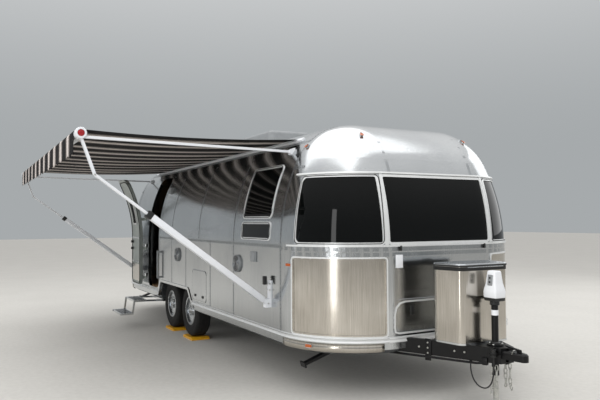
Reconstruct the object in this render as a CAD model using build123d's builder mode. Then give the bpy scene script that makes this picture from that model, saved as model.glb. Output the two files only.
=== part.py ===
from build123d import *
from math import asin, cos, degrees, radians, sin
import os

os.makedirs("parts", exist_ok=True)

# Travel caravan with a rounded, polished shell on two axles.
# Millimetres. +X is forward, to the tow vehicle, +Y is the street side, +Z is up.
# The origin is on the ground, under the centre of the tongue jack's foot.

# Driving dimensions of the shell
shell_front_x = -650.0
shell_length = 7300.0
half_width = 1290.0
wall = 45.0
wall_low_z = 455.0
side_break_z = 1340.0
side_radius = 2000.0
shoulder_radius = 660.0
roof_z = 2565.0
roof_seam_z = 2390.0
belt_z = 1360.0
floor_z = 550.0
floor_thick = 40.0
belly_z = 405.0
belly_side_gap = 5.0
bilge_radius = 60.0

# Clearances
skin_gap = 0.3
shaft_gap = 0.05
door_gap = 6.0
locker_gap = 10.0
hatch_gap = 16.0

# Worked out from the section: where the side's arc meets the shoulder's arc
lean = degrees(asin((roof_z - shoulder_radius - side_break_z) / (side_radius - shoulder_radius)))
shoulder_z = roof_z - shoulder_radius
shoulder_y = half_width - side_radius + (side_radius - shoulder_radius) * cos(radians(lean))
corner_radius = half_width - shoulder_y
shell_rear_x = shell_front_x - shell_length
shell_mid_x = (shell_front_x + shell_rear_x) / 2
front_axis_x = shell_front_x - corner_radius
rear_axis_x = shell_rear_x + corner_radius

# Running gear
tyre_radius = 345.0
tyre_width = 205.0
rim_radius = 196.0
pad_thick = 35.0
wheel_from_wall = 85.0
front_wheel_behind = 3760.0
wheel_spacing = 840.0
hub_z = pad_thick + tyre_radius + skin_gap
wheel_y = half_width - wheel_from_wall - tyre_width / 2
front_wheel_x = shell_front_x - front_wheel_behind
rear_wheel_x = front_wheel_x - wheel_spacing
spindle_radius = 30.0
axle_tube = 76.0
arm_length = 150.0
arm_drop = 20.0
well_inner_y = 950.0
well_top_z = 800.0
well_sheet = 8.0
arch_top_z = 690.0
arch_low_front = 400.0
arch_low_rear = 355.0
arch_top_front = 190.0
arch_top_rear = 250.0
arch_corner = 70.0

# Doorway and door
door_behind = 4960.0
door_width = 600.0
door_low_z = 580.0
door_top_z = 2290.0
door_corner = 110.0
door_open = 178.0
hinge_out = 42.0
hinge_pin_radius = 9.0
door_front_x = shell_front_x - door_behind
door_rear_x = door_front_x - door_width
hinge_x = door_rear_x - 14.0
hinge_y = -half_width - hinge_out

# Hitch
frame_top_z = 548.0
frame_depth = 128.0
frame_width = 52.0
beam_angle = 25.0
ball_x = 300.0
ball_socket_radius = 29.5
coupler_z = 470.0
jack_tube_radius = 29.0
jack_leg_radius = 22.0
jack_top_z = 1175.0
jack_head_high = 255.0

# Awning
awning_front_x = -1650.0
awning_rear_x = -6950.0
roller_y = -3080.0
roller_z = 2360.0
roller_radius = 45.0
rail_z = 2420.0
cloth_thick = 4.0


def behind(distance):
    return shell_front_x - distance


def lean_in(z):
    # How far the skin at this height lies inside the widest part of the shell
    if z <= side_break_z:
        return 0.0
    arc_end_z = side_break_z + side_radius * sin(radians(lean))
    if z <= arc_end_z:
        return side_radius - (side_radius**2 - (z - side_break_z) ** 2) ** 0.5
    return corner_radius - (shoulder_radius**2 - (z - shoulder_z) ** 2) ** 0.5


def block(x, y, z):
    # A box between two values along each axis
    with BuildPart() as made:
        with Locations(((x[0] + x[1]) / 2, (y[0] + y[1]) / 2, (z[0] + z[1]) / 2)):
            Box(abs(x[1] - x[0]), abs(y[1] - y[0]), abs(z[1] - z[0]))
    return made.part


def skin_profile(inset, thick, low, flat):
    # The shell's wall in section, from its low edge to the roof, with the shoulder's centre at x = 0
    inner = inset + thick
    with BuildSketch() as profile:
        with BuildLine():
            Line((corner_radius - inner, low), (corner_radius - inset, low))
            Line((corner_radius - inset, low), (corner_radius - inset, side_break_z))
            CenterArc((corner_radius - side_radius, side_break_z), side_radius - inset, 0, lean)
            CenterArc((0, shoulder_z), shoulder_radius - inset, lean, 90 - lean)
            if flat > 0:
                Line((0, roof_z - inset), (-flat, roof_z - inset))
            Line((-flat, roof_z - inset), (-flat, roof_z - inner))
            if flat > 0:
                Line((-flat, roof_z - inner), (0, roof_z - inner))
            CenterArc((0, shoulder_z), shoulder_radius - inner, 90, lean - 90)
            CenterArc((corner_radius - side_radius, side_break_z), side_radius - inner, lean, -lean)
            Line((corner_radius - inner, side_break_z), (corner_radius - inner, low))
        make_face()
    return profile.sketch


def corner_plane(x, y, angle):
    return Plane(
        origin=(x, y, 0),
        x_dir=(cos(radians(angle)), sin(radians(angle)), 0),
        z_dir=(sin(radians(angle)), -cos(radians(angle)), 0),
    )


def straight_skin(inset, thick, low=wall_low_z):
    # Both side walls and the roof between the two rounded ends, as one arch
    profile = skin_profile(inset, thick, low, shoulder_y)
    with BuildPart() as arch:
        with BuildSketch(Plane(origin=(rear_axis_x, shoulder_y, 0), x_dir=(0, 1, 0), z_dir=(1, 0, 0))):
            add(profile)
        extrude(amount=front_axis_x - rear_axis_x)
        mirror(about=Plane.XZ)
    return arch.part


def front_skin(inset, thick, low=wall_low_z):
    # The rounded front end: two turned corners and the straight middle between them
    profile = skin_profile(inset, thick, low, 0)
    with BuildPart() as cap:
        with BuildSketch(corner_plane(front_axis_x, shoulder_y, 0)):
            add(profile)
        extrude(amount=2 * shoulder_y)
        with BuildSketch(corner_plane(front_axis_x, shoulder_y, 0)):
            add(profile)
        revolve(axis=Axis((front_axis_x, shoulder_y, 0), (0, 0, 1)), revolution_arc=90)
        with BuildSketch(corner_plane(front_axis_x, -shoulder_y, -90)):
            add(profile)
        revolve(axis=Axis((front_axis_x, -shoulder_y, 0), (0, 0, 1)), revolution_arc=90)
    return cap.part


def rear_skin(inset, thick, low=wall_low_z):
    front = front_skin(inset, thick, low)
    with BuildPart() as cap:
        add(front)
        mirror(about=Plane.YZ.offset(shell_mid_x), mode=Mode.REPLACE)
    return cap.part


def side_cutter(x0, x1, z0, z1, corner, side, grow=0.0):
    # A rounded window or door shape driven straight through one side wall
    sign = -1 if side == "curb" else 1
    with BuildPart() as cutter:
        with BuildSketch(Plane.XZ.offset(-sign * half_width * 1.1)):
            with Locations(((x0 + x1) / 2, (z0 + z1) / 2)):
                RectangleRounded(abs(x1 - x0) + 2 * grow, z1 - z0 + 2 * grow, corner + grow)
        extrude(amount=sign * half_width * 0.6)
    return cutter.part


def end_cutter(y0, y1, z0, z1, corner, end, grow=0.0):
    # The same through the middle of the front or the rear end
    with BuildPart() as cutter:
        with BuildSketch(Plane.YZ.offset(shell_mid_x)):
            with Locations(((y0 + y1) / 2, (z0 + z1) / 2)):
                RectangleRounded(y1 - y0 + 2 * grow, z1 - z0 + 2 * grow, corner + grow)
        extrude(amount=end * shell_length)
    return cutter.part


def corner_cutter(x, y, angle0, angle1, z0, z1, corner, grow=0.0):
    # A rounded shape driven through a turned corner, between two angles about its upright axis
    spread = degrees(grow / corner_radius)
    r0 = corner_radius * 0.45
    r1 = corner_radius + 60.0
    with BuildPart() as cutter:
        with BuildSketch(corner_plane(x, y, angle0 - spread)):
            with Locations(((r0 + r1) / 2, (z0 + z1) / 2)):
                Rectangle(r1 - r0, z1 - z0 + 2 * grow)
        revolve(axis=Axis((x, y, 0), (0, 0, 1)), revolution_arc=angle1 - angle0 + 2 * spread)
        if corner > 0:
            turned = cutter.edges().filter_by(GeomType.LINE)
            fillet(turned.filter_by(Plane.XY), radius=corner + grow)
    return cutter.part


def wrap_cutter(side, start_y, end_angle, z0, z1, corner, grow=0.0):
    # A shape that starts on an upright line of the front end and turns round its corner
    if side < 0:
        turned = corner_cutter(
            front_axis_x, -shoulder_y, -end_angle, -wrap_lead_in, z0, z1, corner, grow
        )
        straight = end_cutter(-2 * half_width, -start_y, z0, z1, end_window_corner, 1, grow)
    else:
        turned = corner_cutter(front_axis_x, shoulder_y, wrap_lead_in, end_angle, z0, z1, corner, grow)
        straight = end_cutter(start_y, 2 * half_width, z0, z1, end_window_corner, 1, grow)
    return turned & straight


# Shell panels: one arch and two ends of the wall's thickness, split where the real panels meet
arch_skin = straight_skin(0, wall)
front_cap = front_skin(0, wall)
rear_cap = rear_skin(0, wall)

wrap_lead_in = 4.0
# Windows. Side windows: side, front edge behind the nose, length, low, top, corner
side_windows = [
    ("curb", 1040.0, 700.0, 1640.0, 2160.0, 45.0),
    ("curb", 1040.0, 700.0, 1420.0, 1585.0, 30.0),
    ("street", 1040.0, 700.0, 1480.0, 2080.0, 45.0),
    ("street", 2500.0, 900.0, 1480.0, 2080.0, 45.0),
    ("street", 5150.0, 900.0, 1480.0, 2080.0, 45.0),
]
mullion_y = 630.0
mullion_width = 46.0
end_window_low_z = 1395.0
end_window_top_z = 2015.0
end_window_corner = 30.0
wrap_start_y = mullion_y + mullion_width / 2
wrap_end = 74.0
wrap_corner = 60.0
rear_window_half = 600.0
glass_thick = 6.0
glass_inset = 2.0
glass_gap = 0.3
frame_band = 24.0
frame_proud = 6.0


def window_cutters(grow):
    # One cutter for each window, in the order: sides, front middle, two wrap-round ones, rear
    cutters = []
    for side, start, length, low, top, corner in side_windows:
        cutters.append(side_cutter(behind(start), behind(start + length), low, top, corner, side, grow))
    cutters.append(
        end_cutter(
            -mullion_y + mullion_width / 2,
            mullion_y - mullion_width / 2,
            end_window_low_z,
            end_window_top_z,
            end_window_corner,
            1,
            grow,
        )
    )
    for side in (-1, 1):
        cutters.append(
            wrap_cutter(
                side, wrap_start_y, wrap_end, end_window_low_z, end_window_top_z, wrap_corner, grow
            )
        )
    cutters.append(
        end_cutter(
            -rear_window_half, rear_window_half, end_window_low_z, end_window_top_z, wrap_corner, -1, grow
        )
    )
    return cutters


window_holes = window_cutters(0.0)
side_count = len(side_windows)
rear_hole = window_holes[-1]
front_holes = window_holes[side_count:-1]
curb_holes = [hole for hole, row in zip(window_holes, side_windows) if row[0] == "curb"]
street_holes = [hole for hole, row in zip(window_holes, side_windows) if row[0] == "street"]

# Wheel arch, low locker and doorway in the side walls
arch_front_x = front_wheel_x + arch_low_front
arch_rear_x = rear_wheel_x - arch_low_rear


def arch_cutter(grow, reach):
    # The flat-topped wheel opening, through both side walls at once
    with BuildPart() as cutter:
        with BuildSketch(Plane.XZ.offset(-reach)) as outline:
            with BuildLine():
                Polyline(
                    (arch_front_x + grow, wall_low_z - 80),
                    (arch_front_x + grow, wall_low_z + 20),
                    (front_wheel_x + arch_top_front + grow, arch_top_z + grow),
                    (rear_wheel_x - arch_top_rear - grow, arch_top_z + grow),
                    (arch_rear_x - grow, wall_low_z + 20),
                    (arch_rear_x - grow, wall_low_z - 80),
                    close=True,
                )
            make_face()
            top = outline.vertices().group_by(Axis.Y)[-1]
            fillet(top, radius=arch_corner + grow)
        extrude(amount=2 * reach)
    return cutter.part


arch_hole = arch_cutter(0.0, half_width * 1.1)
doorway = side_cutter(door_front_x, door_rear_x, door_low_z, door_top_z, door_corner, "curb")
door_shape = side_cutter(
    door_front_x, door_rear_x, door_low_z, door_top_z, door_corner, "curb", -door_gap
)

# Low doors: node, front edge behind the nose, length, low, top
locker_behind = 2860.0
locker_length = 500.0
locker_low_z = 600.0
locker_top_z = 965.0
locker_corner = 35.0
locker_hole = side_cutter(
    behind(locker_behind),
    behind(locker_behind + locker_length),
    locker_low_z,
    locker_top_z,
    locker_corner,
    "curb",
)
locker_shape = side_cutter(
    behind(locker_behind),
    behind(locker_behind + locker_length),
    locker_low_z,
    locker_top_z,
    locker_corner,
    "curb",
    -locker_gap,
)
flange_width = 12.0
flange_out = 3.0
knuckle_radius = 4.5
locker_flange = side_cutter(
    behind(locker_behind),
    behind(locker_behind + locker_length),
    locker_low_z,
    locker_top_z,
    locker_corner,
    "curb",
    flange_width,
)
hatch_half = 560.0
hatch_low_z = 590.0
hatch_top_z = 880.0
hatch_corner = 45.0
hatch_hole = end_cutter(-hatch_half, hatch_half, hatch_low_z, hatch_top_z, hatch_corner, 1)
hatch_shape = end_cutter(-hatch_half, hatch_half, hatch_low_z, hatch_top_z, hatch_corner, 1, -hatch_gap)
hatch_flange = end_cutter(-hatch_half, hatch_half, hatch_low_z, hatch_top_z, hatch_corner, 1, flange_width)

far = shell_length * 2
below_seam = block((-far, far), (-far, far), (0, roof_seam_z))
above_seam = block((-far, far), (-far, far), (roof_seam_z, roof_z * 2))
below_belt = block((-far, far), (-far, far), (0, belt_z))
above_belt = block((-far, far), (-far, far), (belt_z, roof_z * 2))
curb_half = block((-far, far), (-far, 0), (0, roof_z * 2))
street_half = block((-far, far), (0, far), (0, roof_z * 2))

with BuildPart() as curb_side_wall:
    add(arch_skin)
    add(below_seam, mode=Mode.INTERSECT)
    add(curb_half, mode=Mode.INTERSECT)
    add(curb_holes, mode=Mode.SUBTRACT)
    add([arch_hole, doorway, locker_hole], mode=Mode.SUBTRACT)
curb_side_wall.part.label = "curb_side_wall"
export_step(curb_side_wall.part, "parts/curb_side_wall.step")

with BuildPart() as street_side_wall:
    add(arch_skin)
    add(below_seam, mode=Mode.INTERSECT)
    add(street_half, mode=Mode.INTERSECT)
    add(street_holes, mode=Mode.SUBTRACT)
    add(arch_hole, mode=Mode.SUBTRACT)
street_side_wall.part.label = "street_side_wall"
export_step(street_side_wall.part, "parts/street_side_wall.step")

with BuildPart() as roof_panel:
    add(arch_skin)
    add(above_seam, mode=Mode.INTERSECT)
roof_panel.part.label = "roof_panel"
export_step(roof_panel.part, "parts/roof_panel.step")

with BuildPart() as front_end_lower:
    add(front_cap)
    add(below_belt, mode=Mode.INTERSECT)
    add(hatch_hole, mode=Mode.SUBTRACT)
front_end_lower.part.label = "front_end_lower"
export_step(front_end_lower.part, "parts/front_end_lower.step")

with BuildPart() as front_end_upper:
    add(front_cap)
    add(above_belt, mode=Mode.INTERSECT)
    add(front_holes, mode=Mode.SUBTRACT)
front_end_upper.part.label = "front_end_upper"
export_step(front_end_upper.part, "parts/front_end_upper.step")

with BuildPart() as rear_end_lower:
    add(rear_cap)
    add(below_belt, mode=Mode.INTERSECT)
rear_end_lower.part.label = "rear_end_lower"
export_step(rear_end_lower.part, "parts/rear_end_lower.step")

with BuildPart() as rear_end_upper:
    add(rear_cap)
    add(above_belt, mode=Mode.INTERSECT)
    add(rear_hole, mode=Mode.SUBTRACT)
rear_end_upper.part.label = "rear_end_upper"
export_step(rear_end_upper.part, "parts/rear_end_upper.step")

# Floor, closed underbelly and wheel wells
well_front_x = arch_front_x + 10
well_rear_x = arch_rear_x - 10
floor_gap = 0.3
belly_inset = wall + belly_side_gap
belly_top_z = floor_z
slot_half = 62.0
slot_top_z = 480.0
axle_tube_x = [x + arm_length * cos(radians(arm_drop)) for x in (front_wheel_x, rear_wheel_x)]
axle_tube_z = hub_z + arm_length * sin(radians(arm_drop))
wheel_bays = [
    block((well_rear_x, well_front_x), (side * well_inner_y, side * half_width * 1.1), (0, well_top_z))
    for side in (-1, 1)
]
tube_slots = [
    block((x - slot_half, x + slot_half), (-half_width, half_width), (0, slot_top_z))
    for x in axle_tube_x
]

with BuildPart() as floor:
    with BuildSketch(Plane.XY.offset(floor_z)):
        with Locations((shell_mid_x, 0)):
            RectangleRounded(
                shell_length - 2 * (wall + floor_gap),
                2 * (half_width - wall - floor_gap),
                corner_radius - wall - floor_gap,
            )
    extrude(amount=floor_thick)
    add(wheel_bays, mode=Mode.SUBTRACT)
floor.part.label = "floor"
export_step(floor.part, "parts/floor.step")

with BuildPart() as belly_pan:
    with BuildSketch(Plane.XY.offset(belly_z)):
        with Locations((shell_mid_x, 0)):
            RectangleRounded(
                shell_length - 2 * belly_inset, 2 * (half_width - belly_inset), corner_radius - belly_inset
            )
    extrude(amount=belly_top_z - belly_z)
    fillet(belly_pan.edges().group_by(Axis.Z)[0], radius=bilge_radius)
    add(wheel_bays, mode=Mode.SUBTRACT)
    add(tube_slots, mode=Mode.SUBTRACT)
belly_pan.part.label = "belly_pan"
export_step(belly_pan.part, "parts/belly_pan.step")

# The wells stand on the floor inside, as boxes open below and to the outside
well_outer_y = half_width - wall - floor_gap
with BuildPart() as wheel_wells:
    for side in (-1, 1):
        with Locations(
            (
                (well_front_x + well_rear_x) / 2,
                side * (well_inner_y + well_outer_y) / 2,
                (floor_z + well_top_z) / 2,
            )
        ):
            Box(well_front_x - well_rear_x, well_outer_y - well_inner_y, well_top_z - floor_z)
        with Locations(
            (
                (well_front_x + well_rear_x) / 2,
                side * (well_inner_y + well_sheet + well_outer_y) / 2,
                (floor_z + well_top_z - well_sheet) / 2,
            )
        ):
            Box(
                well_front_x - well_rear_x - 2 * well_sheet,
                well_outer_y - well_inner_y - well_sheet,
                well_top_z - well_sheet - floor_z,
                mode=Mode.SUBTRACT,
            )
wheel_wells.part.label = "wheel_wells"
export_step(wheel_wells.part, "parts/wheel_wells.step")

# Rub rail round the shell at floor height, two ridges on a flat back
arch_trim_width = 34.0
arch_trim_proud = 10.0
rail_low_z = 512.0
rail_height = 54.0
rail_proud = 16.0


def rub_profile():
    r = corner_radius + skin_gap
    third = rail_height / 4
    with BuildSketch() as profile:
        with BuildLine():
            Polyline(
                (r, rail_low_z),
                (r + rail_proud, rail_low_z + 6),
                (r + rail_proud, rail_low_z + third),
                (r + rail_proud / 2, rail_low_z + 2 * third),
                (r + rail_proud, rail_low_z + 3 * third),
                (r + rail_proud, rail_low_z + rail_height - 6),
                (r, rail_low_z + rail_height),
                close=True,
            )
        make_face()
    return profile.sketch


rub_section = rub_profile()
rub_rail_break = arch_cutter(arch_trim_width + 2, half_width * 1.1)
with BuildPart() as rub_rail:
    for y, start in ((shoulder_y, 0), (-shoulder_y, -90)):
        with BuildSketch(corner_plane(front_axis_x, y, start)):
            add(rub_section)
        revolve(axis=Axis((front_axis_x, y, 0), (0, 0, 1)), revolution_arc=90)
    with BuildSketch(corner_plane(front_axis_x, shoulder_y, 0)):
        add(rub_section)
    extrude(amount=2 * shoulder_y)
    with BuildSketch(Plane(origin=(shell_mid_x, shoulder_y, 0), x_dir=(0, 1, 0), z_dir=(1, 0, 0))):
        add(rub_section)
    extrude(amount=front_axis_x - shell_mid_x)
    with BuildSketch(Plane(origin=(shell_mid_x, -shoulder_y, 0), x_dir=(0, -1, 0), z_dir=(-1, 0, 0))):
        add(rub_section)
    extrude(amount=shell_mid_x - front_axis_x)
    mirror(about=Plane.YZ.offset(shell_mid_x))
    add(rub_rail_break, mode=Mode.SUBTRACT)
rub_rail.part.label = "rub_rail"
export_step(rub_rail.part, "parts/rub_rail.step")

# Trim round the wheel arches, standing on the skin
arch_trim_outer = arch_cutter(arch_trim_width, half_width + arch_trim_proud)
arch_trim_inner = arch_cutter(0.0, half_width * 1.1)
between_walls = block(
    (-far, far), (-half_width - skin_gap, half_width + skin_gap), (0, roof_z)
)
below_rim = block((-far, far), (-far, far), (-far, wall_low_z))
with BuildPart() as wheel_arch_trims:
    add(arch_trim_outer)
    add([arch_trim_inner, between_walls, below_rim], mode=Mode.SUBTRACT)
wheel_arch_trims.part.label = "wheel_arch_trims"
export_step(wheel_arch_trims.part, "parts/wheel_arch_trims.step")

# Stone guards on the front corners: thin bright sheets with a rolled band round them
guard_thick = 3.0
guard_band = 22.0
guard_band_thick = 8.0
guard_low_z = rail_low_z + rail_height + 4
guard_top_z = 1270.0
guard_end = 76.5
guard_corner = 25.0
guard_skin = front_skin(-guard_band_thick, guard_band_thick - skin_gap, guard_low_z - 40)
guard_sheet_skin = front_skin(-guard_thick, guard_thick - skin_gap, guard_low_z - 40)


def guard_cutters(grow):
    return [
        wrap_cutter(side, mullion_y, guard_end, guard_low_z, guard_top_z, guard_corner, grow)
        for side in (-1, 1)
    ]


guard_shapes = guard_cutters(0.0)
guard_middles = guard_cutters(-guard_band)
with BuildPart() as stone_guards:
    for shape, middle in zip(guard_shapes, guard_middles):
        band = guard_skin & (shape - middle)
        sheet = guard_sheet_skin & shape
        add(band)
        add(sheet)
stone_guards.part.label = "stone_guards"
export_step(stone_guards.part, "parts/stone_guards.step")

# Window glass set in the openings, and a flat bright frame round each
glass_skins = {
    "arch": straight_skin(glass_inset, glass_thick),
    "front": front_skin(glass_inset, glass_thick),
    "rear": rear_skin(glass_inset, glass_thick),
}
frame_skins = {
    "arch": straight_skin(-frame_proud, frame_proud - skin_gap),
    "front": front_skin(-frame_proud, frame_proud - skin_gap),
    "rear": rear_skin(-frame_proud, frame_proud - skin_gap),
}
window_skin = ["arch"] * side_count + ["front"] * 3 + ["rear"]
glass_shapes = window_cutters(-glass_gap)
frame_shapes = window_cutters(frame_band / 2)
frame_inner_shapes = window_cutters(-frame_band / 2)
glass_panes = [glass_skins[skin] & shape for skin, shape in zip(window_skin, glass_shapes)]
frame_rings = [
    frame_skins[skin] & (shape - inner)
    for skin, shape, inner in zip(window_skin, frame_shapes, frame_inner_shapes)
]
side_half = {"curb": curb_half, "street": street_half}
for index, row in enumerate(side_windows):
    glass_panes[index] = glass_panes[index] & side_half[row[0]]
    frame_rings[index] = frame_rings[index] & side_half[row[0]]

with BuildPart() as window_glass:
    add(glass_panes)
window_glass.part.label = "window_glass"
export_step(window_glass.part, "parts/window_glass.step")

with BuildPart() as window_frames:
    add(frame_rings)
window_frames.part.label = "window_frames"
export_step(window_frames.part, "parts/window_frames.step")

# Entry door: a whole leaf of the wall's thickness with its own window, hung on the rear jamb,
# modelled closed and then turned open about its hinge line
door_window_low_z = 1560.0
door_window_top_z = 1980.0
door_window_margin = 150.0
door_window_corner = 50.0
door_window = (
    door_front_x - door_window_margin,
    door_rear_x + door_window_margin,
    door_window_low_z,
    door_window_top_z,
    door_window_corner,
    "curb",
)
door_window_hole = side_cutter(*door_window)
door_hinge = Axis((hinge_x, hinge_y, 0), (0, 0, 1))
hinge_heights = [680.0, 1150.0, 1620.0]
hinge_height = 90.0
hinge_leaf = 8.0
hinge_slack = 0.3
hinge_foot = 12.0
strap_near = 32.0
strap_far = 62.0

with BuildPart() as entry_door:
    add(arch_skin)
    add(door_shape, mode=Mode.INTERSECT)
    add(door_window_hole, mode=Mode.SUBTRACT)
    for z in hinge_heights:
        foot_y = -half_width + lean_in(z + hinge_height / 2) + hinge_foot
        with BuildSketch(Plane.XY.offset(z)):
            with BuildLine():
                Polyline(
                    (hinge_x, hinge_y - hinge_leaf),
                    (hinge_x + strap_far, hinge_y - hinge_leaf),
                    (hinge_x + strap_far, foot_y),
                    (hinge_x + strap_near, foot_y),
                    (hinge_x + strap_near, hinge_y + hinge_leaf),
                    (hinge_x, hinge_y + hinge_leaf),
                    close=True,
                )
            make_face()
            with Locations((hinge_x, hinge_y)):
                Circle(hinge_pin_radius + hinge_leaf)
                Circle(hinge_pin_radius + shaft_gap, mode=Mode.SUBTRACT)
        extrude(amount=hinge_height / 2 - hinge_slack)
door_leaf = entry_door.part.rotate(door_hinge, door_open)
door_leaf.label = "entry_door"
export_step(door_leaf, "parts/entry_door.step")

door_pane = (
    straight_skin(glass_inset + wall / 2, glass_thick) & side_cutter(*door_window, -glass_gap) & curb_half
)
with BuildPart() as entry_door_glass:
    add(door_pane.rotate(door_hinge, door_open))
entry_door_glass.part.label = "entry_door_glass"
export_step(entry_door_glass.part, "parts/entry_door_glass.step")

# The hinge's fixed halves: a pin on two arms that stand out from the rear jamb
with BuildPart() as door_hinges:
    for z in hinge_heights:
        skin_y = -half_width + lean_in(z + hinge_height / 2) - skin_gap
        with Locations((hinge_x, hinge_y, z)):
            Cylinder(
                hinge_pin_radius, hinge_height, align=(Align.CENTER, Align.CENTER, Align.MIN)
            )
        with BuildSketch(Plane.XY.offset(z + hinge_height / 2)):
            with Locations((hinge_x, hinge_y)):
                Circle(hinge_pin_radius + hinge_leaf)
            with Locations((hinge_x, (hinge_y + skin_y) / 2)):
                Rectangle(hinge_pin_radius, skin_y - hinge_y)
        extrude(amount=hinge_height / 2)
door_hinges.part.label = "door_hinges"
export_step(door_hinges.part, "parts/door_hinges.step")

# Low locker door and front hatch: the whole wall's thickness behind a flange that lies on the
# skin, with a hinge barrel along the flange's top edge
locker_leaf = arch_skin & locker_shape
locker_plate = straight_skin(-flange_out, flange_out - skin_gap) & locker_flange
locker_join = straight_skin(-flange_out, flange_out + 1.0) & locker_shape
with BuildPart() as locker_door:
    add([locker_leaf, locker_join, locker_plate])
    with Locations(
        Location(
            (
                behind(locker_behind + locker_length / 2),
                -half_width - skin_gap - knuckle_radius,
                locker_top_z + flange_width,
            ),
            (0, 90, 0),
        )
    ):
        Cylinder(knuckle_radius, locker_length - 2 * locker_corner)
locker_door.part.label = "locker_door"
export_step(locker_door.part, "parts/locker_door.step")

hatch_leaf = front_cap & hatch_shape
hatch_plate = front_skin(-flange_out, flange_out - skin_gap) & hatch_flange
hatch_join = front_skin(-flange_out, flange_out + 1.0) & hatch_shape
with BuildPart() as front_hatch:
    add([hatch_leaf, hatch_join, hatch_plate])
    with Locations(
        Location(
            (shell_front_x + skin_gap + knuckle_radius, 0, hatch_top_z + flange_width), (90, 0, 0)
        )
    ):
        Cylinder(knuckle_radius, 2 * shoulder_y)
front_hatch.part.label = "front_hatch"
export_step(front_hatch.part, "parts/front_hatch.step")

# Four wheels, each a rim and a tyre. Row: name, x, side
wheel_rows = [
    ("front_left", front_wheel_x, 1),
    ("front_right", front_wheel_x, -1),
    ("rear_left", rear_wheel_x, 1),
    ("rear_right", rear_wheel_x, -1),
]
tyre_shoulder = 22.0
bead_width = 178.0
rim_thick = 9.0
barrel_radius = 172.0
hub_radius = 52.0
hub_width = 96.0
spoke_count = 6
spoke_face_out = 62.0
spoke_thick = 22.0
window_inner = 72.0
window_outer = 158.0
cap_radius = 36.0
rim_gap = 0.3

for name, x, side in wheel_rows:
    axis = Axis((x, side * wheel_y, hub_z), (0, 1, 0))
    half_plane = Plane(origin=(x, side * wheel_y, hub_z), x_dir=(0, side, 0), z_dir=(side, 0, 0))
    half_tyre = tyre_width / 2
    with BuildPart() as tyre:
        with BuildSketch(half_plane):
            with BuildLine():
                Polyline(
                    (-bead_width / 2, rim_radius),
                    (-half_tyre, tyre_radius - 3.2 * tyre_shoulder),
                    (-half_tyre + tyre_shoulder, tyre_radius),
                    (half_tyre - tyre_shoulder, tyre_radius),
                    (half_tyre, tyre_radius - 3.2 * tyre_shoulder),
                    (bead_width / 2, rim_radius),
                    close=True,
                )
            make_face()
        revolve(axis=axis)
    tyre.part.label = name + "_tyre"
    export_step(tyre.part, "parts/" + name + "_tyre.step")

    with BuildPart() as rim:
        with BuildSketch(half_plane):
            with BuildLine():
                Polyline(
                    (-bead_width / 2, rim_radius - rim_gap),
                    (bead_width / 2, rim_radius - rim_gap),
                    (bead_width / 2, barrel_radius),
                    (-bead_width / 2, barrel_radius),
                    close=True,
                )
            make_face()
        revolve(axis=axis)
        with BuildSketch(half_plane):
            with BuildLine():
                Polyline(
                    (spoke_face_out - spoke_thick, spindle_radius + shaft_gap),
                    (spoke_face_out - spoke_thick, barrel_radius + 2),
                    (spoke_face_out + 6, barrel_radius + 2),
                    (spoke_face_out - 8, hub_radius + 12),
                    (spoke_face_out + 12, hub_radius),
                    (spoke_face_out + 12, cap_radius),
                    (spoke_face_out + 20, cap_radius - 8),
                    (spoke_face_out + 20, 0),
                    (spoke_face_out, 0),
                    (spoke_face_out, spindle_radius + shaft_gap),
                    close=True,
                )
            make_face()
        revolve(axis=axis)
        with BuildSketch(half_plane):
            with BuildLine():
                Polyline(
                    (spoke_face_out - hub_width, spindle_radius + shaft_gap),
                    (spoke_face_out - hub_width, hub_radius),
                    (spoke_face_out, hub_radius),
                    (spoke_face_out, spindle_radius + shaft_gap),
                    close=True,
                )
            make_face()
        revolve(axis=axis)
        with BuildSketch(Plane(origin=(x, side * wheel_y, hub_z), x_dir=(1, 0, 0), z_dir=(0, side, 0))):
            with PolarLocations(0, spoke_count):
                with BuildLine():
                    Polyline(
                        (window_inner, -14),
                        (window_outer, -46),
                        (window_outer, 46),
                        (window_inner, 14),
                        close=True,
                    )
                make_face()
        extrude(amount=spoke_face_out + 40, mode=Mode.SUBTRACT)
    rim.part.label = name + "_rim"
    export_step(rim.part, "parts/" + name + "_rim.step")

# Torsion axles: a square tube across, two trailing arms and two spindles
spindle_in = spoke_face_out - hub_width
arm_thick = 26.0
arm_inner_y = wheel_y - bead_width / 2 - 60.0
bracket_half = 45.0
bracket_y = 620.0
for name, x, tube_x in (
    ("front_axle", front_wheel_x, axle_tube_x[0]),
    ("rear_axle", rear_wheel_x, axle_tube_x[1]),
):
    rise = axle_tube_z - hub_z
    reach = tube_x - x
    with BuildPart() as axle:
        arm_plane = Plane.XZ.offset(arm_inner_y)
        with BuildSketch(arm_plane):
            with BuildLine():
                Polyline(
                    (x - 38, hub_z + 30),
                    (x + 20, hub_z + 44),
                    (x + reach - 30, hub_z + rise + 38),
                    (x + reach + 38, hub_z + rise + 38),
                    (x + reach + 38, hub_z + rise - 38),
                    (x - 20, hub_z - 38),
                    close=True,
                )
            make_face()
        extrude(amount=arm_thick)
        with BuildSketch(arm_plane.offset(arm_thick)):
            with Locations((x, hub_z)):
                Circle(spindle_radius)
        extrude(amount=wheel_y + spoke_face_out - 4 - arm_inner_y - arm_thick)
        with Locations((tube_x, -bracket_y, (axle_tube_z + slot_top_z) / 2)):
            Box(2 * bracket_half, 60, slot_top_z - axle_tube_z)
        mirror(about=Plane.XZ)
        with Locations((tube_x, 0, axle_tube_z)):
            Box(axle_tube, 2 * arm_inner_y, axle_tube)
    axle.part.label = name
    export_step(axle.part, "parts/" + name + ".step")

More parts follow.
